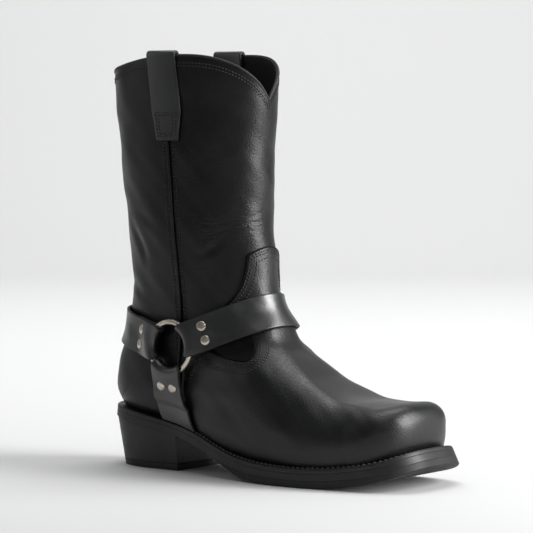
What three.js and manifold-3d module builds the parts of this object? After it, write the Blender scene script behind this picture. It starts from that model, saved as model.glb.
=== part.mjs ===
// Harness boot for the right foot, in millimetres: +Z up, +Y to the toe, +X to the outer side.
// Upper, vamp, straps and sole all take their shape from one form, the lasted boot.
// The group stands with the middle of its bounding box over the origin and its sole on the ground.
import * as THREE from 'three';
import { mergeVertices } from 'three/addons/utils/BufferGeometryUtils.js';
import Module from 'manifold-3d';

const wasm = await Module();
wasm.setup();

// Driving dimensions of the boot
const soleLength = 305;
const ballWidth = 103;
const instepHeight = 88;
const shaftHeight = 327;
const shaftWidth = 88;
const heelRise = 32.5;
const toeSpring = 21;
const frontNotch = 34.5;
const backDip = 18;

// Leather thicknesses and the clearance that pieces keep to each other
const upperWall = 2.4;
const vampWall = 1.4;
const strapWall = 2.6;
const loopWall = 2.4;
const pipingRadius = 1.1;
const fit = 0.3;
const seatGap = 0.8;
const strapRest = 0.9;

// Sole layers, from the upper down, and how far the sole stands out past the feather line
const weltThickness = 3.4;
const midsoleThickness = 5;
const outsoleThickness = 5.4;
const liftThickness = 5;
const insoleThickness = 3;
const heelLedge = 6;
const waistLedge = 5;
const ballLedge = 10;
const toeLedge = 11;
const weltInside = 7;
const edgeChamfer = 0.7;
const featherTuck = 4.5;
const tuckHeight = 15;
const heelBreast = 77.5;
const heelTaper = 0.1;
const heelRake = 7;
const heelSeatGap = 0.5;
const outsoleStart = 130;
const outsoleRamp = 34;
const outsoleTipShare = 0.2;

// Harness
const ringRadius = 20;
const ringWire = 2.2;
const strapWidth = 28;
const lowerStrapWidth = 37.1;
const rivetRadius = 4;
const rivetHeight = 1.7;
const rivetSpacing = 11.4;
const rivetSeat = 0.9;
// Shares of the lower strap's length: its rivets, the end of the folded lap, and the slope after it
const rivetShare = 0.51;
const lapShare = 0.67;
const lapSlope = 0.223;
// Reach from the ring centre at which a strap leaves the ring's plane, and the runs over which it does
const strapTurn = { from: 22, wrap: 16, lower: 12, settleFrom: 30, settleRun: 30 };

// Pull loops and side seams
const loopWidth = 28;
const loopEndWidth = 21.5;
const loopDrop = 66;
const seamTop = 258;
const seamBottom = 86;

// The outsole is pressed flat on the ground by this much, so that the tread has a flat spot
const treadFlat = 0.4;
const foreSole = weltThickness + midsoleThickness + outsoleThickness + seatGap + 3 * fit - treadFlat;
const seatHeight = foreSole + heelRise;

// A table is a list of rows under named columns.
function table(columns, rows) {
  return rows.map((row) => Object.fromEntries(columns.map((name, i) => [name, row[i]])));
}

// Smooth interpolation down a column: it never swings past the rows on either side.
function along(rows, key, column, at) {
  const x = Math.min(Math.max(at, rows[0][key]), rows[rows.length - 1][key]);
  let i = 0;
  while (i < rows.length - 2 && x > rows[i + 1][key]) i += 1;
  const slope = (k) => (rows[k + 1][column] - rows[k][column]) / (rows[k + 1][key] - rows[k][key]);
  const tangent = (k) => {
    if (k === 0) return slope(0);
    if (k === rows.length - 1) return slope(k - 1);
    const [a, b] = [slope(k - 1), slope(k)];
    return a * b <= 0 ? 0 : (2 * a * b) / (a + b);
  };
  const step = rows[i + 1][key] - rows[i][key];
  const t = (x - rows[i][key]) / step;
  const [p, q] = [rows[i][column], rows[i + 1][column]];
  const bend = t * (1 - t) ** 2 * step * tangent(i) - t * t * (1 - t) * step * tangent(i + 1);
  return p + (q - p) * t * t * (3 - 2 * t) + bend;
}

const clamp = (value, low = 0, high = 1) => Math.min(Math.max(value, low), high);
const smooth = (value) => clamp(value) ** 2 * (3 - 2 * clamp(value));
const mix = (a, b, t) => a + (b - a) * t;

// Leg sections. Height is a share of the way from heel seat to collar, back and front are shares of
// the sole length, half is a share of the shaft width, power is that of the section's superellipse.
const leg = table(['height', 'back', 'front', 'half', 'power'], [
  [-0.05, 0.005, 0.383, 0.375, 2.4],
  [0.00, 0.004, 0.396, 0.392, 2.45],
  [0.064, -0.004, 0.422, 0.415, 2.45],
  [0.135, 0.002, 0.462, 0.415, 2.35],
  [0.199, 0.021, 0.488, 0.409, 2.25],
  [0.242, 0.034, 0.498, 0.409, 2.2],
  [0.306, 0.044, 0.484, 0.420, 2.15],
  [0.377, 0.048, 0.474, 0.443, 2.15],
  [0.448, 0.046, 0.467, 0.466, 2.15],
  [0.519, 0.038, 0.459, 0.483, 2.15],
  [0.661, 0.020, 0.459, 0.494, 2.15],
  [0.838, -0.002, 0.469, 0.494, 2.15],
  [1.034, -0.020, 0.483, 0.500, 2.15],
]);

// Foot sections. Station is a share of the sole length. The feather line stands on the sole at the
// ball, lifted by shares of heel rise and toe spring; ridge is a share of the instep height over it.
// Outer, inner, centre and round are shares of the ball width.
const foot = table(['station', 'rise', 'spring', 'ridge', 'outer', 'inner', 'centre', 'round'], [
  [0.000, 1.060, 0.00, 0.180, 0.194, 0.194, 0.000, 0.097],
  [0.082, 0.970, 0.00, 0.260, 0.220, 0.220, 0.000, 0.146],
  [0.149, 0.880, 0.00, 0.380, 0.252, 0.252, 0.000, 0.194],
  [0.248, 0.720, 0.00, 0.640, 0.325, 0.301, 0.000, 0.272],
  [0.330, 0.550, 0.00, 0.800, 0.379, 0.335, 0.000, 0.330],
  [0.413, 0.300, 0.00, 0.970, 0.432, 0.374, 0.000, 0.369],
  [0.495, 0.110, 0.00, 1.010, 0.476, 0.422, -0.010, 0.388],
  [0.578, 0.025, 0.00, 0.872, 0.505, 0.466, -0.019, 0.369],
  [0.660, 0.000, 0.00, 0.684, 0.515, 0.485, -0.029, 0.311],
  [0.743, 0.000, 0.04, 0.553, 0.500, 0.471, -0.044, 0.252],
  [0.825, 0.000, 0.17, 0.460, 0.456, 0.432, -0.058, 0.204],
  [0.908, 0.000, 0.43, 0.428, 0.398, 0.388, -0.068, 0.126],
  [0.990, 0.000, 1.00, 0.307, 0.369, 0.369, -0.073, 0.107],
]);

const footBack = 0.18 * soleLength;
const toeStart = 0.804 * soleLength;
const toeFront = 0.944 * soleLength;
const toePower = 2.9;
const crown = 0.1;
const legBlend = { low: 5, high: 30, from: 0.06, to: 0.24 };

const legShare = (z) => (z - seatHeight) / (shaftHeight - seatHeight);
const footAt = (column, y) => along(foot, 'station', column, y / soleLength);
const legAt = (column, z) => along(leg, 'height', column, legShare(z));
const featherHeight = (y) => foreSole + heelRise * footAt('rise', y) + toeSpring * footAt('spring', y);

// Signed distance, near enough, to the leg: a stack of level superellipses
function legDistance(x, y, z) {
  const back = legAt('back', z) * soleLength;
  const front = legAt('front', z) * soleLength;
  const half = legAt('half', z) * shaftWidth;
  const power = legAt('power', z);
  const reach = (front - back) / 2;
  const dy = y - (front + back) / 2;
  const scale = ((Math.abs(x) / half) ** power + (Math.abs(dy) / reach) ** power) ** (1 / power) + 1e-9;
  return ((scale - 1) * Math.hypot(x, dy)) / scale;
}

// The foot: its plan outline and its crowned top meet in a round edge
function footDistance(x, y, z) {
  const offset = x - footAt('centre', y) * ballWidth;
  const side = Math.max(Math.abs(offset), 1e-4);
  const width = footAt(offset > 0 ? 'outer' : 'inner', Math.min(y, toeStart)) * ballWidth;
  const ahead = Math.max(y - toeStart, 0);
  const scale = ((side / width) ** toePower + (ahead / (toeFront - toeStart)) ** toePower) ** (1 / toePower);
  const plan = Math.max(((scale - 1) * Math.hypot(side, ahead)) / scale, footBack - y);
  const ridge = featherHeight(y) + footAt('ridge', y) * instepHeight;
  const top = (z - ridge + (crown * side * side) / width) * 0.9;
  const round = footAt('round', y) * ballWidth;
  const corner = Math.hypot(Math.max(plan + round, 0), Math.max(top + round, 0));
  return corner + Math.min(Math.max(plan + round, top + round), 0) - round;
}

// The whole form: leg and foot flow into each other, and the lower edge tucks in towards the sole
function distance(x, y, z) {
  const a = legDistance(x, y, z);
  const b = footDistance(x, y, z);
  const share = (legShare(z) - legBlend.from) / (legBlend.to - legBlend.from);
  const reach = mix(legBlend.low, legBlend.high, clamp(share));
  const overlap = Math.max(reach - Math.abs(a - b), 0) / reach;
  const tuck = clamp((featherHeight(y) + tuckHeight - z) / tuckHeight, 0, 2) ** 2;
  return Math.min(a, b) - (overlap * overlap * reach) / 4 + featherTuck * tuck;
}

// The point where a ray from inside the form meets the surface that lies offset outside it
function hit(origin, direction, offset = 0, far = 170) {
  let [near, away] = [0, far];
  for (let i = 0; i < 30; i += 1) {
    const t = (near + away) / 2;
    const p = origin.map((value, axis) => value + direction[axis] * t);
    if (distance(p[0], p[1], p[2]) < offset) near = t;
    else away = t;
  }
  return origin.map((value, axis) => value + (direction[axis] * (near + away)) / 2);
}

// The side of the form at a place seen from the side; side is 1 outer, -1 inner
const sideHit = (side, y, z, offset) => hit([0, y, z], [side, 0, 0], offset);

// Sections of the upper: level rings down the shaft, then planes that tip round the ankle until
// they stand upright, upright sections along the foot, and a fan round the toe.
const collarPeak = (68 * Math.PI) / 180;
const levelTop = 0.75;
const levelEnd = 0.43;
const sections = { collar: 3, shaft: 6, ankle: 4, heel: 6, foot: 7, toe: 5 };
const columns = 24;

function collarHeight(angle) {
  const a = Math.abs(angle);
  if (a < collarPeak) return shaftHeight - frontNotch * (1 - a / collarPeak) ** 3.3;
  return shaftHeight - backDip * ((a - collarPeak) / (Math.PI - collarPeak)) ** 2;
}

const legMiddle = (z) => ((legAt('back', z) + legAt('front', z)) * soleLength) / 2;
const heightAt = (share) => mix(seatHeight, shaftHeight, share);
const spread = (from, to, count) => Array.from({ length: count }, (_, i) => mix(from, to, i / (count - 1)));

function levelRing(height, offset) {
  return spread(-Math.PI, Math.PI, columns + 1).map((angle) => {
    const z = height(angle);
    return hit([0, legMiddle(z), z], [Math.sin(angle), Math.cos(angle), 0], offset);
  });
}

// One tipped section: centre in the side view and the angle that its front ray makes with level
function tippedPlane(share) {
  const start = [legMiddle(heightAt(levelEnd)), heightAt(levelEnd)];
  const bend = [0.215 * soleLength, seatHeight + 0.075 * (shaftHeight - seatHeight)];
  const end = [0.555 * soleLength, foreSole + 0.4 * instepHeight];
  const weights = [(1 - share) ** 2, 2 * share * (1 - share), share ** 2];
  const middle = [0, 1].map((k) => weights[0] * start[k] + weights[1] * bend[k] + weights[2] * end[k]);
  return { middle, tilt: (share * Math.PI) / 2 };
}

// Where a section's lower ray comes down to the feather line
function landing({ middle, tilt }) {
  let [near, away] = [0, 400];
  for (let i = 0; i < 40; i += 1) {
    const t = (near + away) / 2;
    if (middle[1] - Math.sin(tilt) * t > featherHeight(middle[0] - Math.cos(tilt) * t)) near = t;
    else away = t;
  }
  return { y: middle[0] - Math.cos(tilt) * near, z: middle[1] - Math.sin(tilt) * near, reach: near };
}

function tippedSection(plane, offset, closed) {
  const { middle, tilt } = plane;
  const down = landing(plane);
  let angles = spread(-Math.PI, Math.PI, columns + 1);
  if (!closed) {
    const [outer, inner] = [1, -1].map((side) => sideHit(side, down.y, down.z, offset)[0]);
    const half = columns / 2 + 1;
    const innerHalf = spread(Math.atan2(inner, -down.reach), 0, half);
    const outerHalf = spread(0, Math.atan2(outer, -down.reach), half);
    angles = [...innerHalf, ...outerHalf.slice(1)];
  }
  return angles.map((angle) => {
    const forward = Math.cos(angle);
    const direction = [Math.sin(angle), Math.cos(tilt) * forward, Math.sin(tilt) * forward];
    return hit([0, middle[0], middle[1]], direction, offset);
  });
}

// The tip at which the lower ray just reaches the back of the heel at the feather line
function heelShare() {
  let [low, high] = [0, 1];
  for (let i = 0; i < 40; i += 1) {
    const share = (low + high) / 2;
    const down = landing(tippedPlane(share));
    if (distance(0, down.y, down.z) > 0) low = share;
    else high = share;
  }
  return (low + high) / 2;
}

// A point of the feather line, on a level ray from a centre
function featherPoint([cx, cy], angle, offset) {
  let point = [cx, cy, featherHeight(cy)];
  for (let i = 0; i < 6; i += 1) {
    point = hit([cx, cy, featherHeight(point[1])], [Math.sin(angle), Math.cos(angle), 0], offset);
  }
  return [point[0], point[1], featherHeight(point[1])];
}

const toeCentre = [footAt('centre', toeStart) * ballWidth, toeStart + 3];

function toeFan(last, offset) {
  const centre = [toeCentre[0], toeCentre[1], featherHeight(toeCentre[1]) + 0.17 * instepHeight];
  const swing = (48 * Math.PI) / 180;
  const front = spread(-swing, swing, columns + 1).map((angle) => featherPoint(toeCentre, angle, offset));
  const unit = (p) => new THREE.Vector3(...p.map((value, axis) => value - centre[axis])).normalize();
  return spread(0, 1, sections.toe + 1).slice(1).map((t) => last.map((start, column) => {
    if (t === 1) return front[column];
    const [from, to] = [unit(start), unit(front[column])];
    const angle = from.angleTo(to);
    const a = Math.sin((1 - t) * angle) / Math.sin(angle);
    const b = Math.sin(t * angle) / Math.sin(angle);
    const ray = from.multiplyScalar(a).addScaledVector(to, b).normalize();
    const edge = column === 0 || column === columns;
    if (edge) return featherPoint(toeCentre, Math.atan2(ray.x, ray.y), offset);
    return hit(centre, ray.toArray(), offset);
  }));
}

// All sections of the form at one offset; the first `closed` of them are whole rings
function formSections(offset) {
  const upperEnd = heightAt(levelTop);
  const rings = spread(0, 1, sections.collar + 1).slice(0, -1).map(
    (t) => levelRing((angle) => mix(collarHeight(angle), upperEnd, t), offset));
  for (const z of spread(upperEnd, heightAt(levelEnd), sections.shaft)) rings.push(levelRing(() => z, offset));
  const heel = heelShare();
  for (const t of spread(0, heel, sections.ankle + 1).slice(1)) {
    rings.push(tippedSection(tippedPlane(t), offset, true));
  }
  const closed = rings.length;
  for (const t of spread(0, 1, sections.heel + 1).slice(1)) {
    rings.push(tippedSection(tippedPlane(mix(heel, 1, t ** 1.5)), offset, false));
  }
  const { middle } = tippedPlane(1);
  const last = toeCentre[1] + 4;
  for (const t of spread(0, 1, sections.foot + 1).slice(1)) {
    const y = mix(middle[0], last, t);
    const lift = (middle[1] - foreSole) * (1 - 0.35 * t);
    rings.push(tippedSection({ middle: [y, featherHeight(y) + lift], tilt: Math.PI / 2 }, offset, false));
  }
  rings.push(...toeFan(rings[rings.length - 1], offset));
  return { rings, closed };
}

// A closed body from triangles of points, with its faces turned outwards
function bodyFrom(triangles) {
  const build = (list) => {
    const geometry = new THREE.BufferGeometry();
    geometry.setAttribute('position', new THREE.Float32BufferAttribute(list.flat(2), 3));
    return mergeVertices(geometry, 1e-4);
  };
  const volume = triangles.reduce((sum, [a, b, c]) => sum
    + a[0] * (b[1] * c[2] - b[2] * c[1]) - a[1] * (b[0] * c[2] - b[2] * c[0]) + a[2] * (b[0] * c[1] - b[1] * c[0]), 0);
  return build(volume < 0 ? triangles.map(([a, b, c]) => [a, c, b]) : triangles);
}

const quad = (a, b, c, d) => [[a, b, c], [a, c, d]];

// A wall between two sets of sections, open at the first section and underneath
function wall(outer, inner, closed) {
  const faces = [];
  const last = outer.length - 1;
  for (let i = 0; i < last; i += 1) {
    for (let j = 0; j < columns; j += 1) {
      faces.push(...quad(outer[i][j], outer[i][j + 1], outer[i + 1][j + 1], outer[i + 1][j]));
      faces.push(...quad(inner[i][j], inner[i + 1][j], inner[i + 1][j + 1], inner[i][j + 1]));
    }
    if (i >= closed - 1) {
      faces.push(...quad(outer[i][0], outer[i + 1][0], inner[i + 1][0], inner[i][0]));
      faces.push(...quad(outer[i + 1][columns], outer[i][columns], inner[i][columns], inner[i + 1][columns]));
    }
  }
  for (let j = 0; j < columns; j += 1) {
    faces.push(...quad(outer[0][j + 1], outer[0][j], inner[0][j], inner[0][j + 1]));
    faces.push(...quad(outer[last][j], outer[last][j + 1], inner[last][j + 1], inner[last][j]));
  }
  return bodyFrom(faces.filter(([a, b, c]) => area(a, b, c) > 1e-7));
}

function area(a, b, c) {
  const [u, v] = [b, c].map((p) => new THREE.Vector3(...p).sub(new THREE.Vector3(...a)));
  return u.cross(v).length() / 2;
}

// A body through closed sections with equal numbers of points
function loft(loops, ringed = false) {
  const faces = [];
  const count = loops[0].length;
  const steps = ringed ? loops.length : loops.length - 1;
  for (let i = 0; i < steps; i += 1) {
    const next = loops[(i + 1) % loops.length];
    for (let j = 0; j < count; j += 1) {
      const k = (j + 1) % count;
      faces.push(...quad(loops[i][j], loops[i][k], next[k], next[j]));
    }
  }
  if (!ringed) {
    const [first, end] = [loops[0], loops[loops.length - 1]];
    for (let j = 1; j < count - 1; j += 1) {
      faces.push([first[0], first[j + 1], first[j]]);
      faces.push([end[0], end[j], end[j + 1]]);
    }
  }
  return bodyFrom(faces);
}

function toSolid(geometry) {
  const merged = mergeVertices(geometry, 1e-4);
  const vertProperties = new Float32Array(merged.attributes.position.array);
  const triVerts = new Uint32Array(merged.index.array);
  return new wasm.Manifold(new wasm.Mesh({ numProp: 3, vertProperties, triVerts }));
}

function fromSolid(solid) {
  const mesh = solid.getMesh();
  const geometry = new THREE.BufferGeometry();
  geometry.setAttribute('position', new THREE.BufferAttribute(new Float32Array(mesh.vertProperties), 3));
  geometry.setIndex(new THREE.BufferAttribute(new Uint32Array(mesh.triVerts), 1));
  return geometry;
}

// A flat outline pushed right through the boot; across says which way it is seen
function prism(outline, across, from, to, curveSteps = 8) {
  const geometry = new THREE.ExtrudeGeometry(outline, { depth: to - from, bevelEnabled: false, curveSegments: curveSteps });
  geometry.deleteAttribute('normal');
  geometry.deleteAttribute('uv');
  const basis = new THREE.Matrix4();
  if (across === 'side') basis.set(0, 0, 1, from, 1, 0, 0, 0, 0, 1, 0, 0, 0, 0, 0, 1);
  else basis.set(1, 0, 0, 0, 0, 0, -1, to, 0, 1, 0, 0, 0, 0, 0, 1);
  return geometry.applyMatrix4(basis);
}

function makeUpper() {
  const outer = formSections(0);
  const inner = formSections(-upperWall);
  return wall(outer.rings, inner.rings, outer.closed);
}

// Vamp: a second skin over the forefoot. From the front it shows its tongue, from the side its scoops.
const tongue = { top: 0.466, shoulder: 0.443, strapEdge: 0.297, bottom: 0.25 };
const tongueHalf = { peak: 0.13, shoulder: 0.215, waist: 0.235, edge: 0.375 };

function tongueOutline() {
  const outline = new THREE.Shape();
  const { top, shoulder, strapEdge, bottom } = Object.fromEntries(
    Object.entries(tongue).map(([name, share]) => [name, heightAt(share)]));
  const x = (name) => tongueHalf[name] * shaftWidth;
  outline.moveTo(0, top);
  outline.quadraticCurveTo(x('peak'), mix(shoulder, top, 0.85), x('shoulder'), shoulder);
  outline.quadraticCurveTo(x('waist'), mix(strapEdge, shoulder, 0.45), x('edge'), strapEdge);
  outline.lineTo(x('edge'), bottom);
  outline.lineTo(-x('edge'), bottom);
  outline.lineTo(-x('edge'), strapEdge);
  outline.quadraticCurveTo(-x('waist'), mix(strapEdge, shoulder, 0.45), -x('shoulder'), shoulder);
  outline.quadraticCurveTo(-x('peak'), mix(shoulder, top, 0.85), 0, top);
  return outline;
}

function scoopOutline() {
  const outline = new THREE.Shape();
  const y = (share) => share * soleLength;
  const z = heightAt;
  outline.moveTo(y(0.478), z(0.29));
  outline.lineTo(y(0.481), z(0.225));
  outline.quadraticCurveTo(y(0.500), z(0.19), y(0.507), z(0.172));
  outline.quadraticCurveTo(y(0.507), z(0.154), y(0.482), z(0.154));
  outline.quadraticCurveTo(y(0.430), z(0.154), y(0.374), z(0.176));
  outline.quadraticCurveTo(y(0.300), z(0.170), y(0.285), z(0.10));
  outline.lineTo(y(0.310), z(-0.1));
  outline.lineTo(y(0.330), z(-0.3));
  outline.lineTo(y(1.1), z(-0.3));
  outline.lineTo(y(1.1), z(0.29));
  outline.closePath();
  return outline;
}

function makeVamp() {
  const outer = formSections(fit + vampWall);
  const inner = formSections(fit);
  const first = sections.collar + 3;
  const skin = wall(outer.rings.slice(first), inner.rings.slice(first), outer.closed - first);
  const front = toSolid(prism(tongueOutline(), 'front', 0.3 * soleLength, 0.7 * soleLength));
  const sides = toSolid(prism(scoopOutline(), 'side', -ballWidth, ballWidth));
  return fromSolid(toSolid(skin).intersect(front.add(sides)));
}

// Bead of the side seam, from under the pull loop down behind the ring
const seam = table(['height', 'station'], [
  [0.14, 0.272],
  [0.27, 0.279],
  [0.40, 0.276],
  [0.55, 0.268],
  [0.75, 0.256],
  [0.83, 0.252],
  [1.00, 0.234],
]);

const seamStation = (z) => along(seam, 'height', 'station', legShare(z)) * soleLength;

function makePiping(side) {
  const sides = 6;
  const heights = spread(seamTop, seamBottom, 16);
  const loops = heights.map((z) => {
    const y = seamStation(z);
    const centre = sideHit(side, y, z, fit + pipingRadius);
    return spread(0, 2 * Math.PI, sides + 1).slice(0, -1).map((angle) => [
      centre[0] + pipingRadius * Math.cos(angle), centre[1] + pipingRadius * Math.sin(angle), z]);
  });
  return loft(loops);
}

// Pull loop: it goes up outside along the seam, folds over the collar and goes down inside
function makePullLoop(side) {
  const middle = -upperWall / 2;
  const fold = shaftHeight + fit;
  const bottom = shaftHeight - loopDrop;
  const path = (height) => {
    const radius = fit + height - middle;
    return [
      ...spread(bottom, fold, 6).slice(0, -1).map((z) => [middle + radius, z]),
      ...spread(0, Math.PI, 7).map((a) => [middle + radius * Math.cos(a), fold + radius * Math.sin(a)]),
      ...spread(fold, bottom, 6).slice(1).map((z) => [middle - radius, z])];
  };
  return bent(ladder(path(loopWall), path(0)), 3, (offset, z, across) => {
    const width = mix(loopEndWidth, loopWidth, smooth((z - bottom) / (0.4 * loopDrop)));
    const y = seamStation(z) + across * width;
    return [sideHit(side, y, Math.min(z, fold), offset)[0], y, z];
  });
}

// Flat triangles between two rows of points, and inside an outline with holes
const ladder = (row, other) => row.slice(1).flatMap((p, i) => quad(row[i], p, other[i + 1], other[i]));

function filled(contour, holes) {
  const points = [contour, ...holes].flat();
  const vectors = (list) => list.map(([x, y]) => new THREE.Vector2(x, y));
  const faces = THREE.ShapeUtils.triangulateShape(vectors(contour), holes.map(vectors));
  return faces.map((face) => face.map((i) => points[i]));
}

// A flat profile given a width in steps, then carried to its place point by point
function bent(profile, steps, place) {
  const turned = ([a, b, c]) => (b[0] - a[0]) * (c[1] - a[1]) - (b[1] - a[1]) * (c[0] - a[0]) < 0;
  const flat = profile.map((face) => (turned(face) ? [...face].reverse() : face));
  const name = (p) => p.map((value) => value.toFixed(4)).join();
  const rows = spread(-0.5, 0.5, steps + 1);
  const placed = new Map();
  const at = (p, row) => {
    const key = `${name(p)},${row}`;
    if (!placed.has(key)) placed.set(key, place(p[0], p[1], rows[row]));
    return placed.get(key);
  };
  const edges = new Map();
  for (const face of flat) face.forEach((p, i) => edges.set(`${name(p)}>${name(face[(i + 1) % 3])}`, [p, face[(i + 1) % 3]]));
  const faces = flat.flatMap((face) => [face.map((p) => at(p, steps)), [...face].reverse().map((p) => at(p, 0))]);
  for (const [p, q] of edges.values()) {
    if (edges.has(`${name(q)}>${name(p)}`)) continue;
    for (let row = 0; row < steps; row += 1) {
      faces.push(...quad(at(p, row), at(q, row), at(q, row + 1), at(p, row + 1)));
    }
  }
  return bodyFrom(faces);
}

// The ring lies flat beside the ankle, held off it by the inner layer of the straps
const ring = { y: 0.2635 * soleLength, z: seatHeight + 0.5842 * instepHeight };
const strapBase = fit + vampWall + fit;
const wireHeight = strapWall + fit + ringWire;
const clearedRadius = 1.2 * ringRadius;
const around = spread(0, 2 * Math.PI, 13).map((a) => [
  ring.y + clearedRadius * Math.cos(a), ring.z + clearedRadius * Math.sin(a)]);
const ringX = Object.fromEntries([1, -1].map((side) => {
  const surface = around.map(([y, z]) => side * sideHit(side, y, z, 0)[0]);
  return [side, side * (Math.max(...surface) + strapBase + wireHeight)];
}));

// A strap leaves the ring in its direction, seen from the side, and covers part of the wire
const degree = Math.PI / 180;
const frontStrap = { direction: 22 * degree, cover: 42 * degree, axis: 0.29, end: 0, rest: strapBase + fit };
const heelStrap = { direction: 168.5 * degree, cover: 44 * degree, axis: 0.2, end: Math.PI, rest: strapRest };
const lowerStrap = { direction: 262 * degree, cover: 44 * degree, rest: strapBase + 3 * fit };

// Near the ring the strap follows it in circles; its height is measured from the ring's own plane.
function ringZone(strap, side, reach, across, height) {
  const angle = strap.direction + across * 2 * strap.cover;
  const x = ringX[side] + side * (height - wireHeight);
  return [x, ring.y + reach * Math.cos(angle), ring.z + reach * Math.sin(angle)];
}

// A strap round the leg: level rays from an axis meet the form where the strap's straight line is
function wrapPoint(strap, side, angle, across, offset) {
  const slope = Math.tan(strap.direction);
  const origin = strap.axis * soleLength;
  let z = ring.z;
  let point = null;
  for (let i = 0; i < 12; i += 1) {
    point = hit([0, origin, z], [side * Math.sin(angle), Math.cos(angle), 0], offset);
    const line = ring.z + slope * (point[1] - ring.y) + across / Math.abs(Math.cos(strap.direction));
    z = mix(z, line, 0.8);
  }
  return point;
}

// The strap's middle line from the ring to the middle of the boot, by length
function middleLine(strap) {
  const start = Math.atan2(ringX[1] - wireHeight, ring.y - strap.axis * soleLength);
  const steps = spread(0, 1, 33).map((t) => {
    const angle = mix(start, strap.end, t);
    return { angle, point: new THREE.Vector3(...wrapPoint(strap, 1, angle, 0, strap.rest)) };
  });
  let length = 0;
  return steps.map((step, i) => {
    if (i > 0) length += step.point.distanceTo(steps[i - 1].point);
    return { length, angle: step.angle };
  });
}

function wrapStrap(strap) {
  const line = middleLine(strap);
  const total = line[line.length - 1].length;
  const lean = Math.sign(Math.cos(strap.direction)) * Math.tan(strap.direction);
  return {
    total,
    place(side, reach, across, height) {
      const width = across * strapWidth;
      const near = ringZone(strap, side, reach, (across * Math.sign(Math.cos(strap.direction))), height);
      const turn = smooth((reach - strapTurn.from) / strapTurn.wrap);
      if (turn === 0) return near;
      const fade = clamp(1 - reach / total);
      const angle = along(line, 'length', 'angle', reach - width * lean * fade);
      const settle = mix(strapBase, strap.rest, smooth((reach - strapTurn.settleFrom) / strapTurn.settleRun));
      const far = wrapPoint(strap, side, reach >= total - 1e-6 ? strap.end : angle, width, settle + height);
      return near.map((value, axis) => mix(value, far[axis], turn));
    },
  };
}

// Reach is a share of the strap's length, shift of its lower width, and grow runs from the upper to the lower width
const lowerStations = table(['reach', 'shift', 'grow'], [
  [0.320, -0.083, 0.00],
  [0.542, -0.097, 0.06],
  [0.766, -0.008, 0.61],
  [1.000, 0.054, 1.00],
]);
const lowerReach = ring.z - featherHeight(ring.y) - fit;

function lowerPlace(side, reach, across, height) {
  const near = ringZone(lowerStrap, side, reach, across, height);
  const turn = smooth((reach - strapTurn.from) / strapTurn.lower);
  if (turn === 0) return near;
  const station = (column) => along(lowerStations, 'reach', column, reach / lowerReach);
  const width = mix(strapWidth, lowerStrapWidth, station('grow'));
  const y = ring.y + station('shift') * lowerStrapWidth + across * width;
  const z = mix(ring.z, featherHeight(y) + fit, reach / lowerReach);
  const far = sideHit(side, y, z, lowerStrap.rest + height);
  return near.map((value, axis) => mix(value, far[axis], turn));
}

// Seen along its edge, a strap end goes over the wire, turns under it and is riveted to itself.
const lapHeight = 2 * strapWall + 0.1;
const strapLap = lapShare * lowerReach;
const lapEnd = strapLap + lapSlope * lowerReach;
const lapAt = (share) => mix(ringRadius, strapLap, share);

// Folded end of a strap on edge: reach from the ring centre against height above the leg
const hookTop = [
  [lapEnd, strapWall],
  [mix(strapLap, lapEnd, 0.6), mix(lapHeight, strapWall, 0.65)],
  [strapLap, lapHeight],
  [lapAt(0.73), lapHeight],
  [lapAt(0.39), 1.01 * lapHeight],
  [lapAt(0.27), 1.32 * wireHeight],
  [lapAt(0.165), 1.8 * wireHeight],
];
const hookUnder = [
  [lapAt(0.27), 0.08],
  [lapAt(0.5), 0.12],
  [lapAt(0.73), 0.12],
  [strapLap, 0.08],
  [mix(strapLap, lapEnd, 0.5), 0.05],
  [lapEnd, 0],
];

function hookEnd(place) {
  const clear = ringWire + 2 * fit;
  const nose = spread(0.5, 1.5, 7).map((turn) => [
    ringRadius + wireHeight * Math.cos(turn * Math.PI), wireHeight + wireHeight * Math.sin(turn * Math.PI)]);
  const hole = spread(0, 2 * Math.PI, 13).slice(0, -1).map((a) => [
    ringRadius + clear * Math.cos(a), wireHeight + clear * Math.sin(a)]);
  return filled([...hookTop, ...nose, ...hookUnder], [hole])
    .map((face) => face.map(([reach, height]) => place(reach, height)));
}

function makeWrap(strap) {
  const { total, place } = wrapStrap(strap);
  const run = spread(lapEnd - total, total - lapEnd, 15);
  const profile = [
    ...hookEnd((reach, height) => [reach - total, height]),
    ...ladder(run.map((s) => [s, strapWall]), run.map((s) => [s, 0])),
    ...hookEnd((reach, height) => [total - reach, height])];
  return bent(profile, 4, (s, height, across) => place(s < 0 ? -1 : 1, total - Math.abs(s), across, height));
}

function makeLower(side) {
  const run = spread(lapEnd, lowerReach, 3);
  const profile = [
    ...hookEnd((reach, height) => [reach, height]),
    ...ladder(run.map((s) => [s, strapWall]), run.map((s) => [s, 0]))];
  return bent(profile, 4, (s, height, across) => lowerPlace(side, s, across, height));
}

// Rivet cap: a low dome with a short rim, seated on the strap
function makeRivet() {
  const rim = 0.45;
  const dome = spread(0, 1, 4).map((t) => new THREE.Vector2(
    rivetRadius * Math.cos((t * Math.PI) / 2), rim + (rivetHeight - rim) * Math.sin((t * Math.PI) / 2)));
  dome[dome.length - 1].x = 0;
  const geometry = new THREE.LatheGeometry([new THREE.Vector2(0, 0), new THREE.Vector2(rivetRadius, 0), ...dome], 8);
  geometry.deleteAttribute('normal');
  geometry.deleteAttribute('uv');
  return mergeVertices(geometry.rotateX(Math.PI / 2), 1e-4);
}

// Plan outline of the sole: the feather line moved outwards by the ledge
const heelCentre = [0, 0.16 * soleLength];

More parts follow.
